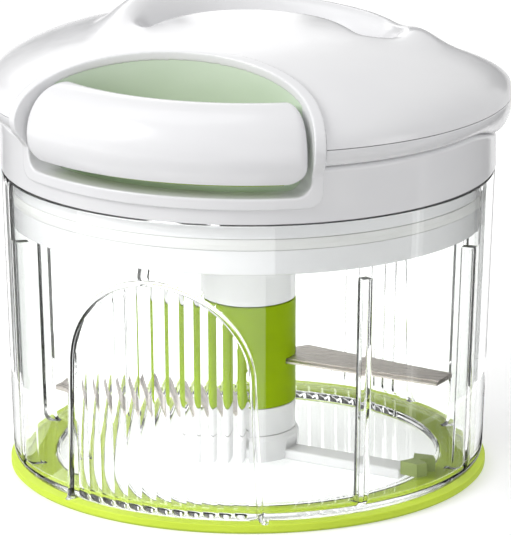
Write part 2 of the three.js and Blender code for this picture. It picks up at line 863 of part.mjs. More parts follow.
add('shaft_bush', turned([
  [shaftRadius + running, plateHeight],
  [bushOuter, plateHeight],
  [bushOuter, bushSeat],
  [bushOuter + bushLip, bushSeat],
  [bushOuter + bushLip, bushTop],
  [shaftRadius + running, bushTop],
], smallSteps), green);
add('spring_case', turned([
  [caseHole, plateTop + running],
  [caseRadius, plateTop + running],
  [caseRadius, plateTop + running + caseHeight],
  [caseRadius - caseWall, plateTop + running + caseHeight],
  [caseRadius - caseWall, plateTop + running + caseWall],
  [caseHole, plateTop + running + caseWall],
], hubSteps), green);

// The recoil spring, a flat strip wound around the reel's neck.
function recoilSpring() {
  const steps = springTurns * tinySteps;
  const inner = reelNeck + ease + springStrip / 2;
  const outer = springOuter - springStrip / 2;
  const place = (k, side) => {
    const angle = (2 * Math.PI * k) / tinySteps;
    const radius = inner + ((outer - inner) * k) / steps + (side * springStrip) / 2;
    return [radius * Math.cos(angle), radius * Math.sin(angle)];
  };
  const outside = Array.from({ length: steps + 1 }, (_, k) => place(k, 1));
  const inside = Array.from({ length: steps + 1 }, (_, k) => place(steps - k, -1));
  return raised([...outside, ...inside], plateTop + caseWall + ease, springWidth);
}

add('recoil_spring', recoilSpring(), steel);

// Chassis on its posts, which steadies the top of the shaft

function chassis() {
  let body = solid(rod(chassisRadius, chassisBottom, chassisBottom + chassisThickness, aroundSteps));
  body = drilled(body, shaftTip + running, chassisBottom - overrun, chassisBottom + chassisThickness + overrun);
  for (const angle of postAngles) {
    const { x, y } = bearing(postCircle, angle * degree, 0);
    body = drilled(body, screwRadius + fit, chassisBottom - overrun, chassisBottom + chassisThickness + overrun, x, y);
  }
  return cut(body, pocket(tubWall + ease, pocketSill - tubWall - ease));
}

add('chassis', chassis(), white);

// A screw along Z: its head rests on a seat, and the shank runs up or down from there.
function screw(seat, way) {
  return turned([
    [0, seat + way * screwHeadHeight],
    [screwHead, seat + way * screwHeadHeight],
    [screwHead, seat],
    [screwRadius, seat],
    [screwRadius, seat - way * screwLength],
    [0, seat - way * screwLength],
  ], tinySteps);
}

postAngles.forEach((angle, k) => {
  const place = bearing(postCircle, angle * degree, 0);
  add(`chassis_screw_${k + 1}`, screw(chassisBottom + chassisThickness + running, 1).translate(place.x, place.y, 0), steel);
});
domePostAngles.forEach((angle, k) => {
  const place = bearing(domePostCircle, angle * degree, 0);
  add(`lid_screw_${k + 1}`, screw(plateHeight - running, -1).translate(place.x, place.y, 0), steel);
});

// Drive: socket under the lid, shaft through the reel, ratchet wheel above it

const socketHex = driveHexRadius + ease;
const shaftTop = chassisBottom - running;
const wheelBore = shaftRadius - running;

add('drive_socket', cut(
  solid(rod(hubRadius, socketBottom, socketTop, hubSteps)),
  driveHex(socketHex, socketBottom - overrun, socketTop - socketCrown),
  solid(rod(shaftRadius + fit, socketBottom, socketTop + overrun)),
), white);
add('drive_shaft', turned([
  [0, socketTop - socketCrown],
  [shaftRadius, socketTop - socketCrown],
  [shaftRadius, reelTop + running],
  [shaftTip, reelTop + running],
  [shaftTip, shaftTop + shaftTipLength],
  [0, shaftTop + shaftTipLength],
], smallSteps), steel);

// Teeth that lean one way: a long slope up to each tip and a steep face down, which the pawls push.
function ratchetWheel() {
  const outline = [];
  for (let k = 0; k < ratchetTeeth; k += 1) {
    const angle = (2 * Math.PI * k) / ratchetTeeth;
    outline.push([ratchetTip * Math.cos(angle), ratchetTip * Math.sin(angle)]);
    outline.push([ratchetRoot * Math.cos(angle), ratchetRoot * Math.sin(angle)]);
  }
  const wheel = solid(raised(outline, ratchetBottom, ratchetHeight));
  return drilled(wheel, shaftTip + fit, ratchetBottom - overrun, ratchetBottom + ratchetHeight + overrun);
}

add('ratchet_wheel', ratchetWheel(), steel);

// Cord reel, with the two pins of its pawls moulded on its top flange

function cordReel() {
  const spool = solid(turned([
    [reelBore, bushTop + running],
    [reelNeck, bushTop + running],
    [reelNeck, reelBottom],
    [reelFlangeRadius, reelBottom],
    [reelFlangeRadius, reelBottom + reelFlange],
    [windingInner - ease, reelBottom + reelFlange],
    [windingInner - ease, reelTop - reelFlange],
    [reelFlangeRadius, reelTop - reelFlange],
    [reelFlangeRadius, reelTop],
    [reelBore, reelTop],
  ], hubSteps));
  const pinTops = ratchetBottom + ratchetHeight;
  const pins = [pawlPivot, -pawlPivot].map((x) =>
    solid(rod(pawlPinRadius, reelTop - reelFlange / 2, pinTops, tinySteps).translate(x, 0, 0)));
  return join(spool, ...pins);
}

add('cord_reel', cordReel(), white);
add('cord_winding', turned([
  [windingInner, reelBottom + reelFlange + ease],
  [windingOuter - cordRadius, reelBottom + reelFlange + ease],
  [windingOuter, reelBottom + reelFlange + cordRadius],
  [windingOuter, reelTop - reelFlange - cordRadius],
  [windingOuter - cordRadius, reelTop - reelFlange - ease],
  [windingInner, reelTop - reelFlange - ease],
], hubSteps), cordWhite);

// A pawl: an eye on its pin and a nose that leans into the ratchet's teeth.
function pawl(turn) {
  const outline = [[pawlReach, -pawlNose], [pawlReach, pawlNose]];
  for (let k = 0; k <= tinySteps / 2; k += 1) {
    const angle = Math.PI / 2 + (2 * Math.PI * k) / tinySteps;
    outline.push([pawlEye * Math.cos(angle), pawlEye * Math.sin(angle)]);
  }
  const arm = solid(raised(outline, ratchetBottom, ratchetHeight));
  return drilled(arm, pawlPinRadius + fit, ratchetBottom - overrun, ratchetBottom + ratchetHeight + overrun)
    .rotate([0, 0, pawlLean])
    .translate([pawlPivot, 0, 0])
    .rotate([0, 0, turn]);
}

add('pawl_1', pawl(0), steel);
add('pawl_2', pawl(180), steel);

// Pull handle: a white shell that follows the lid's curve and a green liner in its back


// The front of the handle's section, bottom to top, moved in by an inset.
function handleFront(inset) {
  const points = [];
  for (let k = 0; k < 2; k += 1) {
    const turn = (Math.PI / 2) * (k / 2);
    points.push([
      handleBottomRadius + (handleBulgeRadius - handleBottomRadius) * Math.sin(turn),
      handleBulgeHeight - (handleBulgeHeight - handleBottom) * Math.cos(turn),
    ]);
  }
  for (let k = 0; k <= 5; k += 1) {
    const turn = (Math.PI / 2) * (k / 5);
    points.push([
      handleTopRadius + (handleBulgeRadius - handleTopRadius) * Math.cos(turn),
      handleBulgeHeight + (handleTopHeight - handleBulgeHeight) * Math.sin(turn),
    ]);
  }
  return offsetLine(points, -inset);
}

// A section of [radius, height] pairs swept around the lid's axis, centred on the front.
function sector(section, steps = sectorSteps) {
  const rings = [];
  for (let k = 0; k <= steps; k += 1) {
    const angle = handleSweep * degree * ((2 * k) / steps - 1);
    rings.push(section.map(([radius, height]) => bearing(radius, angle, height)));
  }
  return solid(fromRings(rings));
}

function handleBlock(floor) {
  const section = [
    ...handleFront(0),
    [handleTopRadius - handleTopLip, handleTopHeight - handleTopLip],
    [handleBackRadius, handleTopHeight - 3 * handleTopLip],
    ...quarterArc(handleBackRadius + handleBackCorner, handleBottom + handleBackCorner, handleBackCorner, 180, 270, 3),
  ];
  return common(sector(section), pocket(-handleGap, floor));
}

function handleCore(gap) {
  const inset = handleWall + gap;
  const section = [
    [handleBottomRadius - gap, handleBottom - overrun],
    ...handleFront(inset).slice(1),
    [handleBackRadius - overrun, handleTopHeight - inset],
    [handleBackRadius - overrun, handleBottom - overrun],
  ];
  return common(sector(section, sectorSteps - 2), pocket(-handleGap - inset, handleBottom - running));
}

function handleShell() {
  const bosses = [-handleBossAngle, handleBossAngle].map((angle) =>
    radialRod(handleBossRadius, handleBackRadius + linerWall + ease, handleBossReach, angle, handleBossHeight));
  const holes = [-handleBossAngle, handleBossAngle].map((angle) => {
    const end = handleBackRadius + handleScrewLength + ease;
    return radialRod(handleScrewRadius + running, handleBackRadius, end, angle, handleBossHeight);
  });
  return cut(join(cut(handleBlock(handleBottom + linerProud), handleCore(0)), ...bosses), ...holes);
}

function handleLiner() {
  const far = handleBulgeRadius + overrun;
  const hollow = common(sector([
    [handleBackRadius + linerWall, handleBottom + linerWall],
    [far, handleBottom + linerWall],
    [far, handleTopHeight + overrun],
    [handleBackRadius + linerWall, handleTopHeight + overrun],
  ], sectorSteps - 4), pocket(-handleGap - handleWall - fit - linerWall, handleBottom + linerWall));
  const holes = [-handleBossAngle, handleBossAngle].map((angle) =>
    radialRod(handleScrewRadius + fit, handleBackRadius - overrun, handleBulgeRadius, angle, handleBossHeight));
  const eye = lyingRod(cordRadius + ease, -handleBulgeRadius, -handleBackRadius + overrun, 0, cordHeight, tinySteps);
  return cut(common(handleBlock(handleBottom), handleCore(fit)), hollow, eye, ...holes);
}

add('handle_shell', handleShell(), white);
add('handle_liner', handleLiner(), green);

const handleScrewSeat = handleBackRadius - ease;
[-handleBossAngle, handleBossAngle].forEach((angle, k) => {
  add(`handle_screw_${k + 1}`, join(
    radialRod(handleScrewHead, handleScrewSeat - handleScrewHeadHeight, handleScrewSeat, angle, handleBossHeight),
    radialRod(handleScrewRadius, handleScrewSeat - fit, handleScrewSeat + handleScrewLength, angle, handleBossHeight),
  ), steel);
});

// Cord: from the reel to the eyelet, from there to the handle, and the knot that holds it

const linerInside = handleBackRadius + linerWall;
const runHeight = cordHeight;
const runRadius = windingOuter + cordRadius + fit;
const runCorner = eyeletInside + runBend;
const runAngle = Math.acos(runRadius / -runCorner);

function cordTube(points, steps) {
  const outline = new THREE.Shape();
  for (let k = 0; k < 8; k += 1) {
    const angle = (2 * Math.PI * k) / 8;
    outline[k ? 'lineTo' : 'moveTo'](cordRadius * Math.cos(angle), cordRadius * Math.sin(angle));
  }
  const extrudePath = new THREE.CatmullRomCurve3(points);
  return new THREE.ExtrudeGeometry(outline, { steps, extrudePath, bevelEnabled: false });
}

const leaves = bearing(runRadius, runAngle, runHeight);
const turns = new THREE.Vector3(0, runCorner, runHeight);
add('cord_run', cordTube([
  leaves,
  leaves.clone().lerp(turns, 0.5),
  leaves.clone().lerp(turns, 0.94),
  new THREE.Vector3(0, eyeletInside + ease, runHeight),
  new THREE.Vector3(0, (eyeletInside + eyeletOutside) / 2, runHeight),
  new THREE.Vector3(0, eyeletOutside, runHeight),
], 14), cordWhite);
add('cord_lead', cordTube([
  new THREE.Vector3(0, eyeletOutside - ease, cordHeight),
  new THREE.Vector3(0, -linerInside, cordHeight),
], 3), cordWhite);
add('cord_knot', join(
  lyingRod(knotRadius, -linerInside - knotLength + ease, -linerInside - 2 * ease, 0, cordHeight, tinySteps),
  lyingRod(cordRadius, -linerInside - knotLength, -linerInside - ease, 0, cordHeight, tinySteps),
), cordWhite);

export default chopper;
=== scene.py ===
import math

import bmesh
import bpy
import numpy as np
from mathutils import Matrix, Vector
from mathutils.geometry import delaunay_2d_cdt


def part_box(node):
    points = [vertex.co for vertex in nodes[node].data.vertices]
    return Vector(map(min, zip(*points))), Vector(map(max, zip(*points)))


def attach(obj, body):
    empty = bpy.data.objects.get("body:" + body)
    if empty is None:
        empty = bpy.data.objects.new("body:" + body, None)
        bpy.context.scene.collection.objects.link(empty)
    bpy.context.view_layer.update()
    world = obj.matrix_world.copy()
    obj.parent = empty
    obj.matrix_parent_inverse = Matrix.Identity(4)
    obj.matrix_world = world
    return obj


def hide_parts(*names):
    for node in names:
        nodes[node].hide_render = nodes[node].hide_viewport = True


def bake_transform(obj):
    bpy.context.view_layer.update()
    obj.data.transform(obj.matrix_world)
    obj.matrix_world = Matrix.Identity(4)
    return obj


# A pull-cord food chopper: clear bowl, blade unit on its pin, white lid with a handle in a pocket.
# Sizes are in millimetres until a mesh is made, and the handle faces -Y.

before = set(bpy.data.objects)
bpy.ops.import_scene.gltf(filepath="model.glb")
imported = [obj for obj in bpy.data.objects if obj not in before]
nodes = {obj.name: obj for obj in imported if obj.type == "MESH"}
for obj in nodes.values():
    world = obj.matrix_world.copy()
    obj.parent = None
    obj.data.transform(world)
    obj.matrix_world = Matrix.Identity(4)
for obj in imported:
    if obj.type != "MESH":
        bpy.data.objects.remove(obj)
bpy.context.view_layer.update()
scene = bpy.context.scene
metre = 0.001
turn = 2 * math.pi
degree = math.pi / 180
mergeDistance = 4e-7
sharpAngle = 35


def topOf(node):
    return round(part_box(node)[1].z / metre, 3)


def lowOf(node):
    return round(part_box(node)[0].z / metre, 3)


def reachOf(node):
    low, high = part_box(node)
    return round(max(-low.x, high.x, -low.y, high.y) / metre, 3)


def pick(sizes, names):
    return [sizes[name] for name in names.split()]


# Mesh helpers

def around(radius, angle, height):
    # 0 is the front, and a quarter turn is +X
    parts = np.broadcast_arrays(radius * np.sin(angle), -radius * np.cos(angle), height)
    return np.stack(parts, axis=-1).astype(float)


def onAxis(height):
    return around(0, np.zeros(1), height)


def outward(azimuth, elevation):
    a, e = azimuth * degree, elevation * degree
    return Vector((math.sin(a) * math.cos(e), -math.cos(a) * math.cos(e), math.sin(e)))


def eased(low, high, value):
    share = np.clip((value - low) / (high - low), 0, 1)
    return share * share * (3 - 2 * share)


def roundOff(share):
    # how far a quarter round has fallen away, as a share of its radius
    return 1 - np.sqrt(1 - share * share)


def quarter(distance, radius):
    # the same in millimetres, at a distance along the quarter round
    return radius * roundOff(np.clip(distance / radius, 0, 1))


def shade(piece, sharp):
    piece.data.polygons.foreach_set("use_smooth", [True] * len(piece.data.polygons))
    piece.data.set_sharp_from_angle(angle=sharp * degree)
    return piece


def placed(name, data):
    made = bpy.data.objects.new(name, data)
    scene.collection.objects.link(made)
    return made


def makePiece(name, points, faces, sharp=sharpAngle):
    mesh = bpy.data.meshes.new(name)
    mesh.from_pydata((np.asarray(points) * metre).tolist(), [], faces)
    bm = bmesh.new()
    bm.from_mesh(mesh)
    bmesh.ops.remove_doubles(bm, verts=bm.verts, dist=mergeDistance)
    bmesh.ops.recalc_face_normals(bm, faces=bm.faces)
    bm.to_mesh(mesh)
    bm.free()
    return shade(placed(name, mesh), sharp)


def ringFaces(rings, looped=False):
    # a ring of one point closes an end
    points, starts = [], []
    for ring in rings:
        starts.append(len(points))
        points.extend(ring)
    pairs = [(k, k + 1) for k in range(len(rings) - 1)] + ([(len(rings) - 1, 0)] if looped else [])
    faces = []
    for low, high in pairs:
        count = max(len(rings[low]), len(rings[high]))
        for i in range(count):
            j = (i + 1) % count
            a, b = starts[low], starts[high]
            if len(rings[low]) == 1:
                faces.append((a, b + j, b + i))
            elif len(rings[high]) == 1:
                faces.append((a + i, a + j, b))
            else:
                faces.append((a + i, a + j, b + j, b + i))
    return points, faces


def loft(name, rings, looped=False, sharp=sharpAngle):
    points, faces = ringFaces(rings, looped)
    return makePiece(name, points, faces, sharp)


def softened(corners, closed, steps=5):
    # corners are (radius, height, rounding), and a rounding takes less than half of each edge
    edgeShare = 0.48
    line = []
    for k, (r, z, rounding) in enumerate(corners):
        here = np.array([r, z], float)
        if rounding <= 0 or (not closed and k in (0, len(corners) - 1)):
            line.append(here)
            continue
        before = np.array(corners[k - 1][:2]) - here
        after = np.array(corners[(k + 1) % len(corners)][:2]) - here
        room = edgeShare * min(np.hypot(*before), np.hypot(*after))
        before, after = before / np.hypot(*before), after / np.hypot(*after)
        half = math.acos(np.clip(before @ after, -1, 1)) / 2
        reach = min(rounding / math.tan(half), room)
        start, end = here + before * reach, here + after * reach
        bisector = before + after
        middle = here + bisector / np.hypot(*bisector) * reach / math.cos(half)
        first, last = start - middle, end - middle
        span = math.acos(np.clip(first @ last / (np.hypot(*first) * np.hypot(*last)), -1, 1))
        for step in range(steps + 1):
            share = step / steps
            weights = math.sin((1 - share) * span), math.sin(share * span)
            line.append(middle + (first * weights[0] + last * weights[1]) / math.sin(span))
    return line


def turned(name, corners, steps=144):
    closed = corners[0][0] > 0
    angles = np.arange(steps) / steps * turn
    rings = [around(r, angles, z) if r > 0 else onAxis(z) for r, z in softened(corners, closed)]
    return loft(name, rings, closed)


def rod(radius, low, high, steps=144):
    return turned("tool", [(0, low, 0), (radius, low, 0), (radius, high, 0), (0, high, 0)], steps)


def hexagon(radius):
    angles = [turn * (k + 0.5) / 6 for k in range(6)]
    return [(radius * math.cos(angle), radius * math.sin(angle)) for angle in angles]


def moved(piece, place=(0, 0, 0), spin=0, tilt=0):
    # tilt about X first, then spin about Z, then the place in millimetres
    shift = Matrix.Translation(Vector(place) * metre)
    piece.data.transform(shift @ Matrix.Rotation(spin, 4, "Z") @ Matrix.Rotation(tilt, 4, "X"))
    return piece


def drop(piece):
    mesh = piece.data
    bpy.data.objects.remove(piece)
    bpy.data.meshes.remove(mesh)


def baked(piece, sharp=None):
    made = bpy.data.meshes.new_from_object(piece.evaluated_get(bpy.context.evaluated_depsgraph_get()))
    old, name = piece.data, piece.data.name
    piece.modifiers.clear()
    piece.data = made
    bpy.data.meshes.remove(old)
    made.name = name
    return shade(piece, sharp) if sharp else piece


def combine(piece, tool, operation="DIFFERENCE"):
    step = piece.modifiers.new("step", "BOOLEAN")
    step.solver = "MANIFOLD"
    step.operation = operation
    step.object = tool
    baked(piece, sharpAngle)
    drop(tool)
    return piece


def prism(name, outline, low, high):
    rings = [[(x, y, low) for x, y in outline], [(x, y, high) for x, y in outline]]
    points, faces = ringFaces(rings)
    count = len(outline)
    faces += [tuple(range(count)), tuple(range(count, 2 * count))]
    return makePiece(name, points, faces)


def softEdges(piece, width, segments=3, angle=40):
    step = piece.modifiers.new("edge", "BEVEL")
    step.width = width * metre
    step.segments = segments
    step.limit_method = "ANGLE"
    step.angle_limit = angle * degree
    step.harden_normals = True
    return piece


def rounded(piece, pitch, passes):
    # voxel skin, then smoothing, so that cut edges come out round
    step = piece.modifiers.new("skin", "REMESH")
    step.mode = "VOXEL"
    step.voxel_size = pitch * metre
    step = piece.modifiers.new("smooth", "SMOOTH")
    step.factor = 0.5
    step.iterations = passes
    return baked(piece, 60)


# Materials

def feed(socket, value):
    # a value is a number, a tuple or another node's output
    if isinstance(value, bpy.types.NodeSocket):
        socket.id_data.links.new(value, socket)
    else:
        socket.default_value = value


def fill(node, **sockets):
    for name, value in sockets.items():
        feed(node.inputs[name.replace("_", " ")], value)
    return node


def addNode(tree, kind, **sockets):
    return fill(tree.nodes.new("ShaderNode" + kind), **sockets)


def joined(tree, kind, *values):
    # a node whose inputs are fed in order
    node = addNode(tree, kind)
    for socket, value in zip(node.inputs, values):
        feed(socket, value)
    return node


def calculate(tree, operation, *values):
    # the result is kept between 0 and 1
    node = joined(tree, "Math", *values)
    node.operation = operation
    node.use_clamp = True
    return node.outputs[0]


def noise(tree, scale, detail=3.0, stretch=None):
    place = addNode(tree, "TexCoord").outputs["Object"]
    if stretch:
        place = addNode(tree, "Mapping", Vector=place, Scale=stretch).outputs["Vector"]
    return addNode(tree, "TexNoise", Vector=place, Scale=scale, Detail=detail).outputs["Fac"]


def between(tree, factor, low, high, start=0.35, end=0.65):
    limits = {"From_Min": start, "From_Max": end, "To_Min": low, "To_Max": high}
    return addNode(tree, "MapRange", Value=factor, **limits).outputs["Result"]


def tint(tree, factor, first, second):
    node = addNode(tree, "Mix")
    node.data_type = "RGBA"
    return fill(node, A=(*first, 1), B=(*second, 1), Factor=between(tree, factor, 0, 1)).outputs["Result"]


def bump(tree, height, distance, under=None):
    below = {"Normal": under} if under else {}
    return addNode(tree, "Bump", Height=height, Distance=distance * metre, **below).outputs["Normal"]


def newMaterial(name):
    material = bpy.data.materials.new(name)
    material.use_nodes = True
    return material, material.node_tree, material.node_tree.nodes["Principled BSDF"]


finishes = {
    "whitePlastic": {"light": (0.80, 0.80, 0.81), "dark": (0.765, 0.765, 0.78), "gloss": (0.16, 0.24),
                     "grain": 0.0025},
    "greenPlastic": {"light": (0.27, 0.40, 0.002), "dark": (0.24, 0.36, 0.0015), "gloss": (0.36, 0.46),
                     "grain": 0.004, "shine": 0.05},
    "paleGreenPlastic": {"light": (0.68, 0.79, 0.64), "dark": (0.63, 0.745, 0.59), "gloss": (0.30, 0.42),
                         "grain": 0.004},
    "greenRubber": {"light": (0.66, 0.83, 0.08), "dark": (0.61, 0.78, 0.065), "gloss": (0.48, 0.62),
                    "grain": 0.02, "shine": 0.2},
    "greyRubber": {"light": (0.30, 0.37, 0.13), "dark": (0.25, 0.31, 0.10), "gloss": (0.45, 0.6),
                   "grain": 0.015},
    "sealRubber": {"light": (0.79, 0.79, 0.78), "dark": (0.74, 0.74, 0.73), "gloss": (0.45, 0.6),
                   "grain": 0.01},
}
# scales of the noises, and the depths of their bumps in millimetres
mould = {"flow": 28, "flowStretch": (1, 1, 2.4), "patches": 160, "grain": 2600, "waves": 90,
         "waveDepth": 0.03}
clearLook = {"colour": (0.965, 0.975, 0.968, 1), "index": 1.45, "haze": (0.0, 0.03), "hazeScale": 60,
             "waves": 55, "waveDepth": 0.01}
steelLook = {"light": (0.70, 0.645, 0.61), "dark": (0.645, 0.59, 0.555), "metal": 0.9, "gloss": (0.24, 0.38),
             "streaks": 40, "stretch": (1, 60, 60), "depth": 0.006}
# the cord's dark tone goes into the grooves between the strands and the light tone onto their crowns, as
# painted shade
cordLook = {"light": (0.80, 0.78, 0.70), "dark": (0.55, 0.53, 0.47), "rough": 0.75, "sheen": 0.25,
            "scale": 420, "lean": 0.6, "twist": 0.7, "depth": 0.08}


def moulded(name):
    # injection moulded plastic or rubber: faint flow marks, uneven gloss and a fine grain
    look = finishes[name]
    material, tree, shader = newMaterial(name)
    flow = noise(tree, mould["flow"], 2, stretch=mould["flowStretch"])
    patches = noise(tree, mould["patches"], 4)
    waves = bump(tree, noise(tree, mould["waves"], 1), mould["waveDepth"])
    grain = bump(tree, noise(tree, mould["grain"], 2), look["grain"], under=waves)
    fill(shader, Base_Color=tint(tree, flow, look["light"], look["dark"]), Normal=grain,
         Roughness=between(tree, patches, *look["gloss"]), Specular_IOR_Level=look.get("shine", 0.5))
    return material


def clearMaterial():
    look = clearLook
    material, tree, shader = newMaterial("clearPlastic")
    haze = between(tree, noise(tree, look["hazeScale"]), *look["haze"])
    waves = bump(tree, noise(tree, look["waves"], 1), look["waveDepth"])
    fill(shader, Transmission_Weight=1.0, IOR=look["index"], Base_Color=look["colour"], Roughness=haze,
         Normal=waves)
    return material


def steelMaterial():
    look = steelLook
    material, tree, shader = newMaterial("brushedSteel")
    streaks = noise(tree, look["streaks"], 5, stretch=look["stretch"])
    fill(shader, Metallic=look["metal"], Base_Color=tint(tree, streaks, look["light"], look["dark"]),
         Roughness=between(tree, streaks, *look["gloss"]), Normal=bump(tree, streaks, look["depth"]))
    return material


def cordMaterial():
    look = cordLook
    material, tree, shader = newMaterial("braidedCord")
    place = addNode(tree, "TexCoord").outputs["Object"]
    waves = []
    for slant in (1, -1):
        spin = (look["lean"] * slant, 0, look["twist"] * slant)
        leaning = addNode(tree, "Mapping", Vector=place, Rotation=spin).outputs["Vector"]
        waves.append(addNode(tree, "TexWave", Vector=leaning, Scale=look["scale"]).outputs["Fac"])
    braid = calculate(tree, "MAXIMUM", *waves)
    # colour and bump share the braid, so the grooves between strands are painted darker than the crowns:
    # painted shade
    fill(shader, Roughness=look["rough"], Sheen_Weight=look["sheen"],
         Base_Color=tint(tree, braid, look["dark"], look["light"]), Normal=bump(tree, braid, look["depth"]))
    return material


materials = {name: moulded(name) for name in finishes}
materials["clearPlastic"] = clearMaterial()
materials["brushedSteel"] = steelMaterial()
materials["braidedCord"] = cordMaterial()
print("materials made")


def dressed(piece, material, body, slot, *replaced):
    piece.data.materials.clear()
    piece.data.materials.append(materials[material])
    # large flat faces keep their own normals beside small rounded ones
    step = piece.modifiers.new("normals", "WEIGHTED_NORMAL")
    step.keep_sharp = True
    step.weight = 100
    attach(piece, body)
    if replaced:
        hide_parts(*replaced)
    return piece


# Camera at the photograph's viewing angle

photo = {"width": 511, "height": 536, "focal": 4905, "lookX": 248.16, "lookY": 318.48,
         "lookHeight": 38.1, "distance": 1270, "azimuth": 22, "elevation": 15.63, "sensor": 36, "near": 0.05}


def makeCamera():
    back = outward(photo["azimuth"], photo["elevation"])
    right = Vector((math.cos(photo["azimuth"] * degree), math.sin(photo["azimuth"] * degree), 0))
    up = back.cross(right)
    pixel = photo["distance"] / photo["focal"]
    place = Vector((0, 0, photo["lookHeight"])) + back * photo["distance"]
    place -= right * (photo["lookX"] - photo["width"] / 2) * pixel
    place += up * (photo["lookY"] - photo["height"] / 2) * pixel
    data = bpy.data.cameras.new("camera")
    data.sensor_width = photo["sensor"]
    data.lens = photo["focal"] * data.sensor_width / photo["height"]
    data.clip_start = photo["near"]
    scene.camera = placed("camera", data)
    facing = Matrix((right, up, back)).transposed().to_4x4()
    scene.camera.matrix_world = Matrix.Translation(place * metre) @ facing


makeCamera()
print("camera set")


# Bowl: a drafted wall with fluted arch panels, baffles inside and a floor that drops inside the ring

bowl = {
    "foot": 60.9, "rim": 63.3, "low": 2.4, "high": topOf("bowl"), "wall": 2.2,
    "corner": 3.0, "fillet": 2.0, "floor": 4.4, "well": 2.6, "wellFloor": 0.6, "wellRadius": 49.9,
    "wellWall": 0.9, "bossRadius": 5.0, "bossTop": 6.0, "pinHole": 2.6, "pinSeat": 1.9, "edge": 0.35,
    "soft": 0.3,
}
baffle = {"angles": (51, 90, 129, -51, -90, -129), "depth": 3.0, "halfWidth": 1.2, "top": 63.8,
          "round": 0.35}
# blunt and fall are the powers of the bead's profile
panel = {
    "half": 25.2, "spread": 1.3, "spring": 39.4, "foot": 2.5, "bead": 1.6, "proud": 1.1, "blunt": 2.4,
    "fall": 0.42, "flutes": 12, "fluteRadius": 3.4, "fluteDepth": 0.65, "fluteLeast": 0.25, "slack": 0.02,
    "gap": 0.03,
}
# where the outer skin has its points: rises above the foot, shares of the rim's edge and of a flute,
# distances in from the arch's outline, and spacings
skin = {
    "rises": (0, 0.06, 0.1, 0.2, 0.4, 0.7, 1.1, 1.6, 2.2, 3.0, 4.1, 5.6), "rowStart": 10.5, "rowStep": 2.5,
    "rimShares": (1, 0.6, 0.3, 0.1, 0), "ribShares": (0, 0.04, 0.2, 0.36, 0.5, 0.64, 0.8, 0.96),
    "insets": (-0.03, 0, 0.03, 0.12, 0.3, 0.55, 0.8, 1.05, 1.3, 1.48, 1.57, 1.6, 1.635, 1.7),
    "ribStart": 9, "ribStep": 1.5, "legStep": 0.6, "arcStep": 0.5, "clearIn": 0.3, "clearOut": 0.5,
    "close": 0.01,
}
# rows of the inner wall above and below the baffles' tops, and where its floor starts
inside = {"above": 76, "below": 61, "end": 8, "step": 4, "floorEdge": 54.5, "wellEdge": 8, "columnStep": 3,
          "shares": (1, 0.75, 0.5, 0.28, 0.1, 0.02), "topShares": (0, 0.08, 0.3, 0.65, 1)}


def bowlCone(z):
    start = bowl["low"] + bowl["corner"]
    return bowl["foot"] + (bowl["rim"] - bowl["foot"]) * (z - start) / (bowl["high"] - start)


def rimEdge(z):
    return quarter(z - bowl["high"] + bowl["edge"], bowl["edge"])


def bowlOuter(z):
    start = bowl["low"] + bowl["corner"]
    corner = bowl["foot"] - quarter(start - z, bowl["corner"])
    return np.where(z < start, corner, bowlCone(z) - rimEdge(z))


def legWidth(z):
    return panel["half"] + panel["spread"] * (panel["spring"] - z) / (panel["spring"] - panel["foot"])


def panelInside(across, z):
    # distance inside the arch's outline, in millimetres
    arch = panel["half"] - np.hypot(across, z - panel["spring"])
    return np.where(z > panel["spring"], arch, legWidth(z) - np.abs(across))


def fluteAngles():
    # half of what the flutes take together, and what one of them takes
    middle = (bowl["low"] + bowl["high"]) / 2
    half = math.asin((panel["half"] - panel["bead"]) / bowlOuter(middle))
    return half, 2 * half / panel["flutes"]


def fluteSurface(angle, z):
    half, step = fluteAngles()
    distance = bowlCone(z) + panel["fluteRadius"] - panel["fluteDepth"]
    place = np.clip(np.floor((angle + half) / step), 0, panel["flutes"] - 1)
    off = angle + half - (place + 0.5) * step
    across = distance * np.sin(off)
    rise = np.sqrt(np.maximum(panel["fluteRadius"] ** 2 - across ** 2, panel["fluteLeast"]))
    return distance * np.cos(off) - rise


def fromPanel(angle):
    # angles run from -90 to 270 degrees, and both panels are alike
    return np.where(angle > math.pi / 2, angle - math.pi, angle)


def archDepth(angle, z):
    return panelInside(bowlOuter(z) * np.sin(fromPanel(angle)), z)


def bowlSkin(angle, z):
    wall, depth = bowlOuter(z), archDepth(angle, z)
    half = panel["bead"] / 2
    share = np.clip(np.abs(depth - half) / half, 0, 1)
    bead = panel["proud"] * (1 - share ** panel["blunt"]) ** panel["fall"]
    onBead = (depth > 0) & (depth < panel["bead"]) & (z >= panel["foot"] - panel["slack"])
    fluted = depth > panel["bead"] + panel["gap"]
    radius = np.where(onBead, np.maximum(wall, bowlCone(z) + bead), wall)
    return np.where(fluted, np.minimum(wall, fluteSurface(fromPanel(angle), z)), radius)


def baffleColumns():
    width, soft, slack = baffle["halfWidth"], baffle["round"], panel["slack"]
    offsets = [0, width / 2] + [width - share * soft for share in (1, 0.6, 0.25, 0.06, 0)]
    offsets += [width + slack, width + 0.06 * soft + slack, width + 0.4 * soft, width + soft]
    offsets = sorted({round(side * x, 4) for x in offsets for side in (1, -1)})
    wall = bowl["foot"] - bowl["wall"]
    return [middle * degree + x / wall for middle in baffle["angles"] for x in offsets]


def baffleShape(angle, z):
    # how far the inner wall stands in at a place
    wall = bowl["foot"] - bowl["wall"]
    depth, width, soft = pick(baffle, "depth halfWidth round")
    best = np.zeros(np.broadcast(angle, z).shape)
    for middle in baffle["angles"]:
        off = np.abs(np.angle(np.exp(1j * (angle - middle * degree)))) * wall
        face = depth - quarter(off - width + soft, soft)
        foot = quarter(width + soft - off, soft)
        best = np.maximum(best, np.where(off <= width, face, foot))
    shrink = quarter(z - baffle["top"] + soft, soft)
    return np.where(z > baffle["top"], 0, np.maximum(best - shrink, 0))


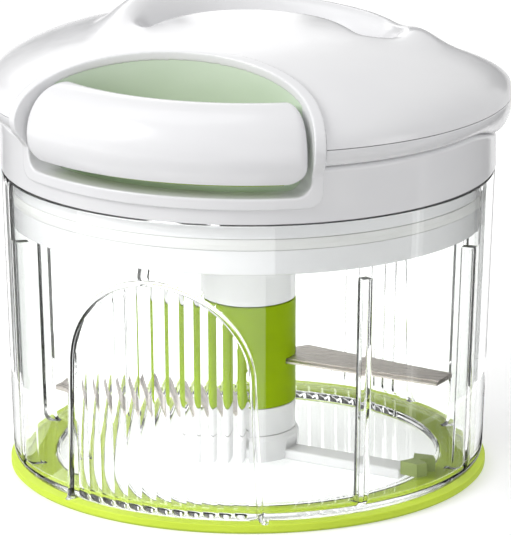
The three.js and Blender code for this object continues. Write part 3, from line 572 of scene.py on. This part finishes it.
def bowlInner(z):
    share = (z - bowl["low"]) / (bowl["high"] - bowl["low"])
    wall = bowl["foot"] - bowl["wall"] + (bowl["rim"] - bowl["foot"]) * share
    return wall + rimEdge(z) - quarter(bowl["floor"] + bowl["fillet"] - z, bowl["fillet"])


def archCurves():
    # lines of points that run along the bead, as pairs of width and height
    legs = [bowl["low"] + skin["rises"][1]] + list(np.arange(panel["foot"], panel["spring"], skin["legStep"]))
    arcs = int(math.pi * panel["half"] / skin["arcStep"])
    curves = []
    for inset in skin["insets"]:
        for z in legs:
            curves += [(legWidth(z) - inset, z), (inset - legWidth(z), z)]
        radius = panel["half"] - inset
        for k in range(arcs + 1):
            angle = math.pi * k / arcs
            curves.append((radius * math.cos(angle), panel["spring"] + radius * math.sin(angle)))
    return curves


def bowlOutside(columns):
    # the outer skin is cut as an unrolled sheet whose points follow the arches and flutes
    scale = bowl["foot"]
    lowRows = [round(bowl["low"] + rise, 3) for rise in skin["rises"]]
    rows = lowRows + list(np.arange(skin["rowStart"], bowl["high"] - 1, skin["rowStep"]))
    rows += [bowl["high"] - bowl["edge"] * share for share in skin["rimShares"]]
    sheet = np.array([(a, z) for z in rows for a in columns])
    edgeRow = (sheet[:, 1] < bowl["low"] + skin["close"]) | (sheet[:, 1] > bowl["high"] - skin["close"])
    sheet = sheet[edgeRow | (archDepth(*sheet.T) < -skin["clearOut"])]

    half, step = fluteAngles()
    archTop = panel["spring"] + panel["half"]
    ribRows = lowRows[1:] + list(np.arange(skin["ribStart"], archTop, skin["ribStep"]))
    places = [k + share for k in range(panel["flutes"]) for share in skin["ribShares"]]
    ribs = {round(place * step - half, 7) for place in places}
    ribs = sorted(ribs | {round(half, 7)})
    curves = archCurves()
    extra, onCurve = [], []
    for base in (0, math.pi):
        extra += [(base + math.asin(x / bowlOuter(z)), z) for x, z in curves]
        extra += [(base + a, z) for a in ribs for z in ribRows]
        onCurve += [True] * len(curves) + [False] * (len(ribs) * len(ribRows))
    extra = np.array(extra)
    extra = extra[np.array(onCurve) | (archDepth(*extra.T) > panel["bead"] + skin["clearIn"])]

    flat = [Vector((a * scale, z)) for a, z in np.concatenate([sheet, extra])]
    made = delaunay_2d_cdt(flat, [], [], 0, 1e-5)
    flatPoints = np.array([tuple(p) for p in made[0]])
    angle, z = flatPoints[:, 0] / scale, np.round(flatPoints[:, 1], 4)
    return around(bowlSkin(angle, z), angle, z), [tuple(face) for face in made[2]]


def makeBowl():
    base = np.arange(-90, 270, inside["columnStep"]) * degree
    baffles = np.mod(np.array(baffleColumns()) + math.pi / 2, turn) - math.pi / 2
    columns = np.unique(np.round(np.concatenate([base, baffles]), 6))
    outside, outsideFaces = bowlOutside(np.append(columns, columns[0] + turn))
    floor, top = bowl["floor"], baffle["top"]
    heights = [bowl["high"] - bowl["edge"] * share for share in skin["rimShares"][::-1]]
    heights += list(np.arange(inside["above"], top + 1, -inside["step"])) + [top + 0.6, top + panel["slack"]]
    heights += [top - baffle["round"] * share for share in inside["topShares"]]
    heights += list(np.arange(inside["below"], inside["end"], -inside["step"]))
    heights += [floor + bowl["fillet"] * share for share in inside["shares"]]
    rings = [around(bowlInner(z) - baffleShape(columns, z), columns, z) for z in heights]
    rings.append(around(bowlInner(floor) - baffleShape(columns, 10.0), columns, floor))
    soft, nearly = bowl["soft"], bowl["soft"] ** 2
    lip, boss, pin = bowl["wellRadius"] - bowl["wellWall"], bowl["bossRadius"], bowl["pinHole"]
    inward = [
        (inside["floorEdge"], floor), (lip + soft + 0.2, floor), (lip + soft, floor),
        (lip + nearly, floor - nearly), (lip, floor - soft), (lip, bowl["well"]), (boss, bowl["well"]),
        (boss, bowl["bossTop"]), (pin, bowl["bossTop"]), (pin, bowl["pinSeat"]),
    ]
    rings += [around(r, columns, z) for r, z in inward] + [onAxis(bowl["pinSeat"])]
    foot, low = bowl["foot"] - bowl["corner"], bowl["low"]
    wellRadius, wellFloor = pick(bowl, "wellRadius wellFloor")
    under = [
        (foot, low), (foot - 0.4, low), (wellRadius, low), (wellRadius, wellFloor + soft),
        (wellRadius - nearly, wellFloor + nearly), (wellRadius - soft, wellFloor),
        (inside["wellEdge"], wellFloor),
    ]
    bottom = [around(r, columns, z) for r, z in under] + [onAxis(wellFloor)]
    rimRow = [around(bowlSkin(columns, np.full(len(columns), bowl["high"])), columns, bowl["high"])]
    points, faces = ringFaces(rimRow + rings)
    lowPoints, lowFaces = ringFaces(bottom)
    allPoints = np.concatenate([np.array(points), np.array(lowPoints), outside])
    faces += [tuple(i + len(points) for i in face) for face in lowFaces]
    faces += [tuple(i + len(points) + len(lowPoints) for i in face) for face in outsideFaces]
    return makePiece("clear_bowl", allPoints, faces, 38)


clearBowl = dressed(makeBowl(), "clearPlastic", "bowl", "clear_plastic", "bowl")

# light passes the clear wall straight on to what is inside
clearBowl.visible_shadow = False

# the ring's top lies 0.03 mm in the bowl's foot, so that no air film dulls its colour there
ring = {"inner": 50.2, "outer": reachOf("base_ring"), "height": topOf("base_ring") + 0.03, "edge": 0.7,
        "soft": 0.25}
dressed(turned("grip_ring", [
    (ring["inner"], 0, ring["soft"]),
    (ring["outer"] - ring["edge"], 0, ring["soft"]),
    (ring["outer"], ring["edge"], ring["soft"]),
    (ring["outer"], ring["height"], ring["soft"]),
    (ring["inner"], ring["height"], ring["soft"]),
], 192), "greenRubber", "bowl", "green_rubber", "base_ring")
print("bowl made")


# Blade unit

hub = {"radius": 12.34, "low": 17.4, "high": 44.6, "edge": 0.3, "hex": 8.6, "spigot": 7.8, "spigotLow": 10.0,
       "bore": 5.0, "boreTop": 41.6}
slot = {"height": 1.5, "depth": 15.1, "lead": 3.4, "root": 8.45, "reach": 12, "upper": 29.0, "lower": 13.7}
tube = {"radius": 12.34, "low": lowOf("foot_tube"), "neck": 10.9, "shoulder": 10.1, "high": 17.3, "bore": 5.3,
        "edge": 0.25, "socket": 7.95, "seat": 9.9, "soft": 0.2}
arm = {"ringRadius": 13.15, "ringTop": 10.0, "ringLow": 3.1, "bevel": 1.2, "angle": -8, "root": 6.4,
       "tip": 7.6, "start": 12, "reach": 46.5, "thickness": 2.6, "bore": 11.05, "edge": 0.7}


def slotTool(height, spin):
    root, reach = slot["root"], slot["root"] + slot["reach"]
    near, far = -slot["lead"], slot["depth"] - slot["lead"]
    outline = [(root, near), (reach, near), (reach, far), (root, far)]
    half = slot["height"] / 2
    return moved(prism("tool", outline, height - half, height + half), spin=spin * degree)


def makeHub():
    radius, spigot, low, high, edge = pick(hub, "radius spigot low high edge")
    piece = turned("blade_sleeve", [
        (0, hub["spigotLow"], 0), (spigot, hub["spigotLow"], edge), (spigot, low, 0),
        (radius, low, edge), (radius, high, edge), (0, high, 0),
    ])
    combine(piece, prism("tool", hexagon(hub["hex"]), high - 1, topOf("blade_hub")), "UNION")
    combine(piece, rod(hub["bore"], 0, hub["boreTop"], 64))
    return combine(piece, slotTool(slot["upper"], 0))


def makeTube():
    radius, neck, bore, inner, edge = pick(tube, "radius neck bore socket edge")
    low, shoulder, high = pick(tube, "low shoulder high")
    piece = turned("foot_sleeve", [
        (bore, low, 0), (neck, low, edge), (neck, shoulder, 0), (radius, shoulder, edge),
        (radius, high, edge), (inner, high, tube["soft"]), (inner, tube["seat"], 0), (bore, tube["seat"], 0),
    ])
    return combine(piece, slotTool(slot["lower"], 180))


def makeArm():
    radius, bore, low, high = pick(arm, "ringRadius bore ringLow ringTop")
    piece = turned("mixing_paddle", [
        (bore, low, 0.2), (radius, low, 0.5), (radius, high - arm["bevel"], 0.4),
        (radius - arm["bevel"] / 2, high, 0.3), (bore, high, 0.15),
    ])
    root, tip = arm["root"] / 2, arm["tip"] / 2
    outline = [(arm["start"], -root), (arm["reach"], -tip), (arm["reach"], tip), (arm["start"], root)]
    bar = prism("tool", outline, low, low + arm["thickness"])
    softEdges(bar, arm["edge"], 4)
    baked(bar)
    combine(piece, bar, "UNION")
    return moved(piece, spin=arm["angle"] * degree)


dressed(makeHub(), "greenPlastic", "rotor", "green_plastic", "blade_hub")
dressed(makeTube(), "whitePlastic", "rotor", "white_plastic", "foot_tube")
dressed(makeArm(), "whitePlastic", "rotor", "white_plastic", "mixing_arm")

socket = {"low": lowOf("drive_socket"), "high": topOf("drive_socket"), "radius": 12.34, "hex": 8.9,
          "crown": 5.0, "edge": 0.3, "bore": 5.15, "boreTop": 90}


def makeSocket():
    radius, low, high, edge = pick(socket, "radius low high edge")
    piece = turned("shaft_socket", [(0, low, 0), (radius, low, edge), (radius, high, edge), (0, high, 0)])
    combine(piece, prism("tool", hexagon(socket["hex"]), low - 1, high - socket["crown"]))
    return combine(piece, rod(socket["bore"], 0, socket["boreTop"], 64))


dressed(makeSocket(), "whitePlastic", "drive", "white_plastic", "drive_socket")
print("blade unit made")


# Lid

lid = {
    "wall": 2.2, "skirt": 60.3, "skirtWall": 2.0, "skirtLow": lowOf("lid_base"),
    "collar": 63.5, "collarLow": 80.2, "frontTop": 94.0, "backTop": 88.1, "edge": 1.3,
    "neck": 61.9, "step": 0.2, "rim": 67.6, "rimFront": 99.5, "rimDrop": 1.5, "rise": 18.3,
    "seam": 0.2, "plate": 69.5, "plateTop": 71.5, "bore": 7.7, "sealLow": 73.0, "sealHeight": 3.0,
    "sealDepth": 1.3, "steps": 216, "fall": 0.6, "foot": 0.6, "lip": 0.4, "soft": 0.8, "hair": 0.05,
}
scoop = {"discX": 5.6, "discY": -13.8, "disc": 27.4, "outerX": 5.8, "outerY": 0.2, "outer": 33.5,
         "slope": 5.0, "turn": 18, "depth": 6.2, "ridge": 39.0, "ridgeHalf": 9.0, "ridgeRise": 5.5,
         "ridgeEnds": (84, 150), "ends": (100, 122)}
pocket = {"half": 42.5, "depth": 31.0, "centre": 66.0, "sill": 87.1, "top": 130.0, "corner": 4.0, "tub": 1.6,
          "frame": 3.0, "proud": 1.1, "rebate": 1.25, "fit": 0.15, "mouth": 57.0, "steps": 150,
          "low": 60, "high": 140, "eyelet": 2.55, "eyeletReach": 4, "grain": 0.3}
cord = {"radius": 1.1, "height": 94.4, "start": -36.2, "end": -55.2, "rings": 96, "sides": 32, "strands": 8,
        "ridge": 0.07, "lay": 5.5}


def backness(angle, low, high):
    return eased(low, high, np.abs(np.angle(np.exp(1j * angle))) / degree)


def collarTop(angle):
    return lid["frontTop"] - (lid["frontTop"] - lid["backTop"]) * backness(angle, 82, 114)


def rimHeight(angle):
    return lid["rimFront"] - lid["rimDrop"] * backness(angle, 100, 160)


def gripRelief(x, y):
    # a crescent hollow behind the round crown, with a ridge round its far side
    bearing = np.arctan2(x - scoop["discX"], scoop["discY"] - y) - scoop["turn"] * degree
    behind = np.hypot(x - scoop["discX"], y - scoop["discY"]) - scoop["disc"]
    away = np.hypot(x - scoop["outerX"], y - scoop["outerY"])
    dip = eased(-0.2, 1, behind / scoop["slope"]) * eased(-0.3, 1, (scoop["outer"] - away) / scoop["slope"])
    ridge = 1 - eased(0, 1, np.abs(away - scoop["ridge"]) / scoop["ridgeHalf"])
    rise = scoop["ridgeRise"] * ridge * backness(bearing, *scoop["ridgeEnds"])
    return rise - scoop["depth"] * dip * backness(bearing, *scoop["ends"])


def domeHeight(radius, angle):
    share = radius / lid["rim"]
    point = around(radius, angle, 0)
    fall = lid["fall"] * backness(angle, 105, 140) * eased(0.35, 0.8, share)
    edge = lid["rimFront"] - lid["rimDrop"] * backness(angle, 100, 160) * share * share
    rise = lid["rise"] * np.sqrt(1 - share * share) * (1 - fall)
    return edge + rise + gripRelief(point[..., 0], point[..., 1])


lidAngles = (np.arange(lid["steps"]) / lid["steps"] - 0.5) * turn
domeShares = np.concatenate([np.sin(np.linspace(0.5, 0.27, 12) * math.pi)[1:], np.linspace(0.735, 0.02, 46)])


def lidLine(angle, bridged=False):
    # arrays of radius and height from the collar's foot to the crown; bridged leaves out the groove
    top, rim = collarTop(angle), rimHeight(angle)
    flat = np.ones_like(angle)
    line = [(lid["collar"] * flat, lid["collarLow"] * flat)]
    edge = lid["edge"]
    for part in ([0] if bridged else np.linspace(0, math.pi / 2, 8)):
        radius = lid["collar"] - edge + edge * math.cos(part)
        line.append((radius * flat, top - edge + edge * math.sin(part)))
    if not bridged:
        line.append((lid["neck"] * flat, top + lid["step"]))
    parts = np.linspace(math.pi / 3, math.pi / 2, 4) if bridged else np.linspace(0, math.pi / 2, 15)[1:]
    for part in parts:
        line.append(((lid["neck"] + (lid["rim"] - lid["neck"]) * math.sin(part)) * flat,
                     rim - (rim - top - lid["step"]) * math.cos(part)))
    rimIndex = len(line) - 1
    for share in domeShares:
        radius = lid["rim"] * share
        line.append((radius * flat, domeHeight(radius, angle)))
    return line, rimIndex


def offsetLine(line, distance):
    made = []
    for k, (r, z) in enumerate(line):
        r0, z0 = line[max(0, k - 1)]
        r1, z1 = line[min(len(line) - 1, k + 1)]
        length = np.hypot(r1 - r0, z1 - z0)
        made.append((np.maximum(0.01, r + (z1 - z0) / length * distance), z - (r1 - r0) / length * distance))
    return made


def ringsOf(line):
    return [around(r, lidAngles, z) for r, z in line]


def envelope(distance):
    line, _ = lidLine(lidAngles, bridged=True)
    line = offsetLine(line, distance)
    foot, crown = onAxis(float(np.mean(line[0][1]))), onAxis(float(np.mean(line[-1][1])))
    return loft("tool", [foot] + ringsOf(line) + [crown])


def pocketTool(grow):
    corner, floor = pocket["corner"], pocket["sill"] - grow
    spins = (np.arange(pocket["steps"]) + 0.5) / pocket["steps"] * turn

    def ringAt(inset, height):
        x = (pocket["half"] + inset) * np.cos(spins)
        y = (pocket["depth"] + inset) * np.sin(spins) - pocket["centre"]
        return np.stack([x, y, np.full(len(spins), height)], axis=-1)

    rings = [np.array([[0, -pocket["centre"], floor]])]
    for part in np.linspace(0, math.pi / 2, 9):
        rings.append(ringAt(grow - corner * (1 - math.sin(part)), floor + corner * (1 - math.cos(part))))
    rings += [ringAt(grow, pocket["top"]), np.array([[0, -pocket["centre"], pocket["top"]]])]
    return loft("tool", rings)


def cutPocket(piece):
    combine(piece, pocketTool(pocket["tub"] + pocket["fit"]))
    rebate = combine(pocketTool(pocket["frame"] + pocket["fit"]), envelope(-pocket["rebate"]))
    return combine(piece, rebate)


def makeLidBase():
    line, rimIndex = lidLine(lidAngles)
    flat = np.ones_like(lidAngles)
    top, rim = collarTop(lidAngles), rimHeight(lidAngles)
    wall, low, skirt, collar, shoulder = pick(lid, "wall skirtLow skirt collar collarLow")
    foot, lip, soft, hair, plate = pick(lid, "foot lip soft hair plate")
    seam = rim - lid["seam"]
    line = line[1:rimIndex] + [(lid["rim"] * flat - hair, seam - hair), (lid["rim"] * flat - 4 * hair, seam)]
    inner = skirt - lid["skirtWall"]
    groove = skirt - lid["sealDepth"]
    sealTop = lid["sealLow"] + lid["sealHeight"]
    under = [
        (skirt - foot, low), (skirt - 0.17, low + 0.17), (skirt, low + foot), (skirt, lid["sealLow"]),
        (groove, lid["sealLow"]), (groove, sealTop), (skirt, sealTop), (skirt, shoulder),
        (collar - lip, shoulder), (collar - 0.12, shoulder + 0.12), (collar, shoulder + lip),
    ]
    inward = [
        (inner, shoulder), (inner, lid["plateTop"]), (lid["bore"], lid["plateTop"]), (lid["bore"], plate),
        (inner - soft, plate), (inner - soft / 4, plate - soft / 4), (inner, plate - soft), (inner, low),
    ]
    after = [(flat * (lid["rim"] - wall), seam), (flat * (lid["neck"] - wall), top + wall)]
    after += [(flat * r, flat * z) for r, z in inward]
    rings = ringsOf([(flat * r, flat * z) for r, z in under] + line + after)
    return cutPocket(loft("lid_body", rings, looped=True))


def makeDome():
    line, rimIndex = lidLine(lidAngles)
    outside = line[rimIndex:]
    inside = []
    for r, z in outside:
        share = r / lid["rim"]
        inside.append((r - lid["wall"] * share, z - lid["wall"] * np.sqrt(1 - share * share)))
    crown = float(np.mean(outside[-1][1]))
    rings = [onAxis(crown - lid["wall"])] + ringsOf(inside[::-1]) + ringsOf(outside) + [onAxis(crown)]
    return cutPocket(loft("top_cover", rings))


def pocketWall(inset):
    piece = combine(pocketTool(pocket["tub"]), pocketTool(inset))
    return combine(piece, envelope(-pocket["rebate"] + 3 * pocket["fit"]), "INTERSECT")


def makeTub():
    # the pale lining ends under the white rim, which turns in at the mouth
    piece = pocketWall(pocket["fit"])
    combine(piece, rod(pocket["mouth"] + 3 * pocket["fit"], pocket["low"], pocket["high"]), "INTERSECT")
    hole = rod(pocket["eyelet"], -pocket["eyeletReach"], pocket["eyeletReach"], 48)
    moved(hole, tilt=math.pi / 2)
    moved(hole, (0, pocket["depth"] - pocket["centre"] + pocket["tub"] / 2, cord["height"]))
    combine(piece, hole)
    piece.name = "pocket_lining"
    return piece


def makeFrame():
    piece = combine(pocketTool(pocket["frame"]), pocketTool(0))
    combine(piece, envelope(pocket["proud"]), "INTERSECT")
    combine(piece, envelope(-pocket["rebate"]))
    turnedIn = pocketWall(0)
    combine(turnedIn, rod(pocket["mouth"], pocket["low"], pocket["high"]))
    combine(piece, turnedIn, "UNION")
    piece.name = "pocket_rim"
    return rounded(piece, pocket["grain"], 5)


dressed(makeLidBase(), "whitePlastic", "lid", "white_plastic", "lid_base")
dressed(makeDome(), "whitePlastic", "lid", "white_plastic", "lid_dome")
dressed(makeTub(), "paleGreenPlastic", "lid", "pale_green_plastic", "pocket_tub")
dressed(makeFrame(), "whitePlastic", "lid", "white_plastic", "pocket_frame")
seal = {"proud": 0.35, "play": 0.1, "edge": 0.2, "crown": 0.6}


def makeSeal():
    low, high = lid["sealLow"] + seal["play"], lid["sealLow"] + lid["sealHeight"] - seal["play"]
    root, half, play = lid["skirt"] - lid["sealDepth"] + seal["play"], seal["proud"] / 2, seal["play"]
    return turned("lid_gasket", [
        (root, low, play), (lid["skirt"] + half, low, seal["edge"]),
        (lid["skirt"] + seal["proud"], (low + high) / 2, seal["crown"]),
        (lid["skirt"] + half, high, seal["edge"]), (root, high, play),
    ], 192)


dressed(makeSeal(), "sealRubber", "lid", "seal_rubber", "lid_seal")
print("lid made")


# Pull handle

handle = {
    "gap": 1.2, "low": 89.6, "topRadius": 55.4, "top": 109.0, "bulge": 66.55, "bulgeHeight": 96.6,
    "lowRadius": 63.4, "back": 53.4, "backCorner": 3.5, "wall": 2.2, "liner": 1.6, "proud": 1.0, "soft": 2.0,
    "setBack": 1.8, "bossAngle": 24, "bossHeight": 99.5, "bossRadius": 3.2, "bossStart": 55.3,
    "bossEnd": 64.2, "steps": 72, "span": 35.0, "widest": 44, "over": 1, "outside": 68, "above": 110,
    "eye": 1.4, "screw": 1.45, "screwStart": 50, "screwEnd": 60,
}


def handleFront(inset):
    low, top, height, foot, head = pick(handle, "low top bulgeHeight lowRadius topRadius")
    points = []
    for part in np.linspace(0, math.pi / 2, 9)[:-1]:
        radius = foot + (handle["bulge"] - foot) * math.sin(part)
        points.append((radius, height - (height - low) * math.cos(part)))
    for part in np.linspace(0, math.pi / 2, 25):
        radius = head + (handle["bulge"] - head) * math.cos(part)
        points.append((radius, height + (top - height) * math.sin(part)))
    return offsetLine(points, -inset)


def endAngle(radius, grow):
    # how far round a point of this radius may go before it meets the pocket's wall
    low, high = np.zeros_like(radius), np.full_like(radius, handle["widest"] * degree)
    for _ in range(40):
        middle = (low + high) / 2
        x, y = radius * np.sin(middle), pocket["centre"] - radius * np.cos(middle)
        outside = (x / (pocket["half"] + grow)) ** 2 + (y / (pocket["depth"] + grow)) ** 2 > 1
        low, high = np.where(outside, low, middle), np.where(outside, middle, high)
    return low


def sweptHandle(name, section, grow, floor, soft=0, steps=handle["steps"]):
    # a closed section carried round the lid between the pocket's walls, with its ends rounded
    section = np.array(section)
    along = np.roll(section, -1, axis=0) - np.roll(section, 1, axis=0)
    normal = np.stack([along[:, 1], -along[:, 0]], axis=-1) / np.hypot(*along.T)[:, None]
    middle = section.mean(axis=0)
    if np.sum((section - middle) * normal) < 0:
        normal = -normal
    half = handle["span"]
    ends = [half - soft * (1 - math.cos(part)) for part in np.linspace(0, math.pi / 2, 7)] if soft else [half]
    evenly = np.round(np.linspace(0, half - soft, steps // 2 + 1), 5)
    stations = sorted({round(s, 5) for s in ends} | set(evenly))
    stations = [-s for s in stations[::-1] if s > 0] + stations
    rings = []
    for station in stations:
        near = half - abs(station)
        inset = soft - math.sqrt(max(soft * soft - (soft - min(near, soft)) ** 2, 0)) if soft else 0
        points = section - normal * inset
        rise = np.clip((points[:, 1] - floor) / pocket["corner"], 0, 1)
        drawn = grow - pocket["corner"] * roundOff(1 - rise)
        limit = endAngle(points[:, 0], drawn)
        rings.append(around(points[:, 0], limit * station / half, points[:, 1]))
    caps = [np.array([ring.mean(axis=0)]) for ring in (rings[0], rings[-1])]
    return loft(name, caps[:1] + rings + caps[1:], sharp=32)


def handleBlock(name, floor):
    back, low, corner, radius, top = pick(handle, "back low backCorner topRadius top")
    section = handleFront(0) + [(radius - 0.8, top - 0.25), (radius - 1.3, top - 0.9)]
    section += [(back + 0.25, top - 2.4), (back, top - 4.2)]
    for part in np.linspace(0, math.pi / 2, 7):
        section.append((back + corner - corner * math.cos(part), low + corner - corner * math.sin(part)))
    return sweptHandle(name, section, -handle["gap"], floor, handle["soft"])


def handleCore(gap):
    inset, over = handle["wall"] + gap, handle["over"]
    section = [(handle["lowRadius"] - gap - handle["setBack"], handle["low"] - over)] + handleFront(inset)[1:]
    section += [(handle["back"] - over, handle["top"] - inset), (handle["back"] - over, handle["low"] - over)]
    return sweptHandle("tool", section, -handle["gap"] - inset, handle["low"] - 0.1)


def atBosses(piece, radius, start, end, operation="DIFFERENCE"):
    for side in (-1, 1):
        tool = moved(rod(radius, -end, -start, 40), tilt=math.pi / 2)
        moved(tool, (0, 0, handle["bossHeight"]), spin=side * handle["bossAngle"] * degree + math.pi)
        combine(piece, tool, operation)
    return piece


def makeHandleShell():
    edge = handle["low"] + handle["proud"]
    piece = handleBlock("grip_shell", edge)
    combine(piece, prism("tool", [(-60, -90), (60, -90), (60, -30), (-60, -30)], 80, edge))
    combine(piece, handleCore(0))
    return atBosses(piece, handle["bossRadius"], handle["bossStart"], handle["bossEnd"], "UNION")


def makeHandleLiner():
    piece = handleBlock("grip_liner", handle["low"])
    combine(piece, handleCore(pocket["fit"]), "INTERSECT")
    near, low = handle["back"] + handle["liner"], handle["low"] + handle["liner"]
    far, high = handle["outside"], handle["above"]
    section = [(near, low), (far, low), (far, high), (near, high)]
    grow = -handle["gap"] - handle["wall"] - pocket["fit"] - handle["liner"]
    combine(piece, sweptHandle("tool", section, grow, low, steps=handle["steps"] - 8))
    eye = moved(rod(handle["eye"], -70, -50, 32), tilt=-math.pi / 2)
    combine(piece, moved(eye, (0, 0, cord["height"])))
    return atBosses(piece, handle["screw"], handle["screwStart"], handle["screwEnd"])


dressed(makeHandleShell(), "whitePlastic", "handle", "white_plastic", "handle_shell")
dressed(makeHandleLiner(), "greenPlastic", "handle", "green_plastic", "handle_liner")
print("handle made")


# Cord: a braided tube from the lid's eyelet to the knot in the handle

def makeCord():
    spins = np.arange(cord["sides"]) / cord["sides"] * turn
    half = cord["strands"] / 2
    rings = []
    for y in np.linspace(cord["start"], cord["end"], cord["rings"]):
        wind = y / cord["lay"] * turn
        braid = np.maximum(np.cos(half * spins + wind), np.cos(half * spins - wind))
        radius = cord["radius"] - cord["ridge"] * (1 - np.abs(braid))
        x, z = radius * np.cos(spins), cord["height"] + radius * np.sin(spins)
        rings.append(np.stack([x, np.full(len(spins), y), z], axis=-1))
    ends = [np.array([[0, y, cord["height"]]]) for y in (cord["start"], cord["end"])]
    return loft("pull_cord", ends[:1] + rings + ends[1:], sharp=60)


pullCord = makeCord()
pullCord.data.materials.append(materials["braidedCord"])
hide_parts("cord_lead")
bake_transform(pullCord)
print("cord made")


# CAD pieces that keep their shape and get a finish

screws = tuple(name for name in nodes if "screw" in name)
plainFinish = {
    "brushedSteel": ("pivot_pin", "upper_blade", "lower_blade", "recoil_spring", "drive_shaft",
                     "ratchet_wheel", "pawl_1", "pawl_2") + screws,
    "whitePlastic": ("hub_bush", "chassis", "cord_reel"),
    "greenPlastic": ("shaft_bush", "spring_case"),
    "greyRubber": ("arm_scraper",),
    "sealRubber": ("cord_eyelet",),
    "braidedCord": ("cord_run", "cord_winding", "cord_knot"),
}


def finishNode(name, material):
    node = nodes[name]
    node.data.materials.clear()
    node.data.materials.append(materials[material])
    weld = node.modifiers.new("weld", "WELD")
    weld.merge_threshold = 2e-6
    softEdges(node, 0.12, 2, 30)


for material, names in plainFinish.items():
    for name in names:
        finishNode(name, material)
print("carried nodes finished")


# Studio

studio = {"fill": 0.62, "floorColour": 0.72, "floorLift": 0.40, "floorThrough": 1.0, "aim": 0.06,
          "cardColumns": 40}


def seenBy(tree, *rays):
    path = addNode(tree, "LightPath")
    total = path.outputs[rays[0]]
    for ray in rays[1:]:
        total = calculate(tree, "MAXIMUM", total, path.outputs[ray])
    return total


def makeWorld():
    scene.world = bpy.data.worlds.new("studio")
    scene.world.use_nodes = True
    tree = scene.world.node_tree
    seen = seenBy(tree, "Is Camera Ray", "Is Glossy Ray", "Is Transmission Ray")
    fill(tree.nodes["Background"], Color=(1, 1, 1, 1), Strength=between(tree, seen, studio["fill"], 1, 0, 1))


def makeFloor():
    spins = np.arange(96) / 96 * turn
    floor = loft("floor", [onAxis(0)] + [around(r, spins, 0) for r in (200, 600, 1500, 4000)])
    material, tree, shader = newMaterial("paleFloor")
    tree.nodes.remove(shader)
    matt = addNode(tree, "BsdfDiffuse", Color=(studio["floorColour"],) * 3 + (1,))
    direct = calculate(tree, "MULTIPLY", seenBy(tree, "Is Camera Ray", "Is Glossy Ray"), studio["floorLift"])
    through = calculate(tree, "MULTIPLY", seenBy(tree, "Is Transmission Ray"), studio["floorThrough"])
    glow = addNode(tree, "Emission", Strength=calculate(tree, "MAXIMUM", direct, through))
    both = joined(tree, "AddShader", matt.outputs[0], glow.outputs[0])
    fill(tree.nodes["Material Output"], Surface=both.outputs[0])
    floor.data.materials.append(material)


def makeLamp(name, azimuth, elevation, distance, size, power):
    data = bpy.data.lights.new(name, "AREA")
    data.shape = "DISK"
    data.size = size
    data.energy = power
    lamp = placed(name, data)
    back = outward(azimuth, elevation)
    lamp.location = back * distance + Vector((0, 0, studio["aim"]))
    lamp.rotation_mode = "QUATERNION"
    lamp.rotation_quaternion = back.to_track_quat("Z", "Y")
    lamp.visible_camera = False


def makeCard(name, angles, profile, tone, through):
    # a dark card out of view, which only reflections and glass edges pick up
    count = studio["cardColumns"]
    spins = np.linspace(angles[0], angles[1], count) * degree
    points = np.concatenate([around(r, spins, z) for r, z in profile])
    faces = [(k + row, k + row + 1, k + row + count + 1, k + row + count)
             for row in range(0, count * (len(profile) - 1), count) for k in range(count - 1)]
    card = makePiece(name, points, faces)
    material, tree, shader = newMaterial(name)
    fill(shader, Base_Color=(tone, tone, tone, 1), Roughness=1)
    # only a mirrored ray sees the card; one bounced off a matt surface or straight through the bowl doesn't
    path = addNode(tree, "LightPath")
    mirrored = calculate(tree, "SUBTRACT", path.outputs["Glossy Depth"], path.outputs["Diffuse Depth"])
    clear = addNode(tree, "BsdfTransparent")
    either = joined(tree, "MixShader", mirrored, clear.outputs[0], shader.outputs[0])
    fill(tree.nodes["Material Output"], Surface=either.outputs[0])
    card.data.materials.append(material)
    card.visible_camera = False
    card.visible_diffuse = False
    card.visible_shadow = False
    card.visible_transmission = through


# azimuth, elevation, distance and size in metres, and power
lamps = {
    "keyLamp": (-46, 31, 1.3, 0.8, 9.2),
    "topLamp": (-60, 74, 1.2, 0.8, 2),
    "rightLamp": (84, 4, 1.2, 0.5, 1.2),
    "frontLamp": (30, 8, 1.3, 0.8, 1.3),
    "behindLamp": (214, 20, 1.3, 0.8, 1.6),
}

# profiles of the cards, as radii and heights
behindProfile = [(700, 100), (700, 330)]
floorProfile = [(110, 1), (64, 1)]
sideProfile = [(112, 80), (112, 1)]
edgeProfile = [(114, 80), (114, 1)]

# first and last azimuth, profile, tone, and whether rays that came through the bowl see the card
cards = {
    "backRightCard": ((165, 199), behindProfile, 0.10, True),
    "backLeftCard": ((205.5, 240), behindProfile, 0.10, True),
    "frontCard": ((28, 84), [(110, 50)] + floorProfile, 0.02, True),
    "frontHighCard": ((31, 84), [(110, 82), (110, 50)], 0.02, True),
    "frontBandCard": ((-44, 31), [(110, 82), (110, 61)], 0.15, True),
    "rightCard": ((88, 140), sideProfile, 0.03, True),
    "leftCard": ((-105, -44), sideProfile, 0.03, True),
    "rightFloorCard": ((84, 106), floorProfile, 0.03, True),
    "leftFloorCard": ((-62, -44), floorProfile, 0.03, True),
    "rightFarCard": ((106, 154), floorProfile, 0.03, False),
    "leftFarCard": ((-112, -62), floorProfile, 0.03, False),
    "rightEdgeCard": ((160, 167.5), edgeProfile, 0.02, True),
    "leftEdgeCard": ((-123.5, -116), edgeProfile, 0.02, True),
}

makeWorld()
makeFloor()
for name, values in lamps.items():
    makeLamp(name, *values)
for name, values in cards.items():
    makeCard(name, *values)

scene.view_settings.view_transform = "Standard"
scene.cycles.max_bounces = 20
scene.cycles.transmission_bounces = 18
scene.cycles.glossy_bounces = 8
scene.cycles.use_denoising = True
print("studio set")
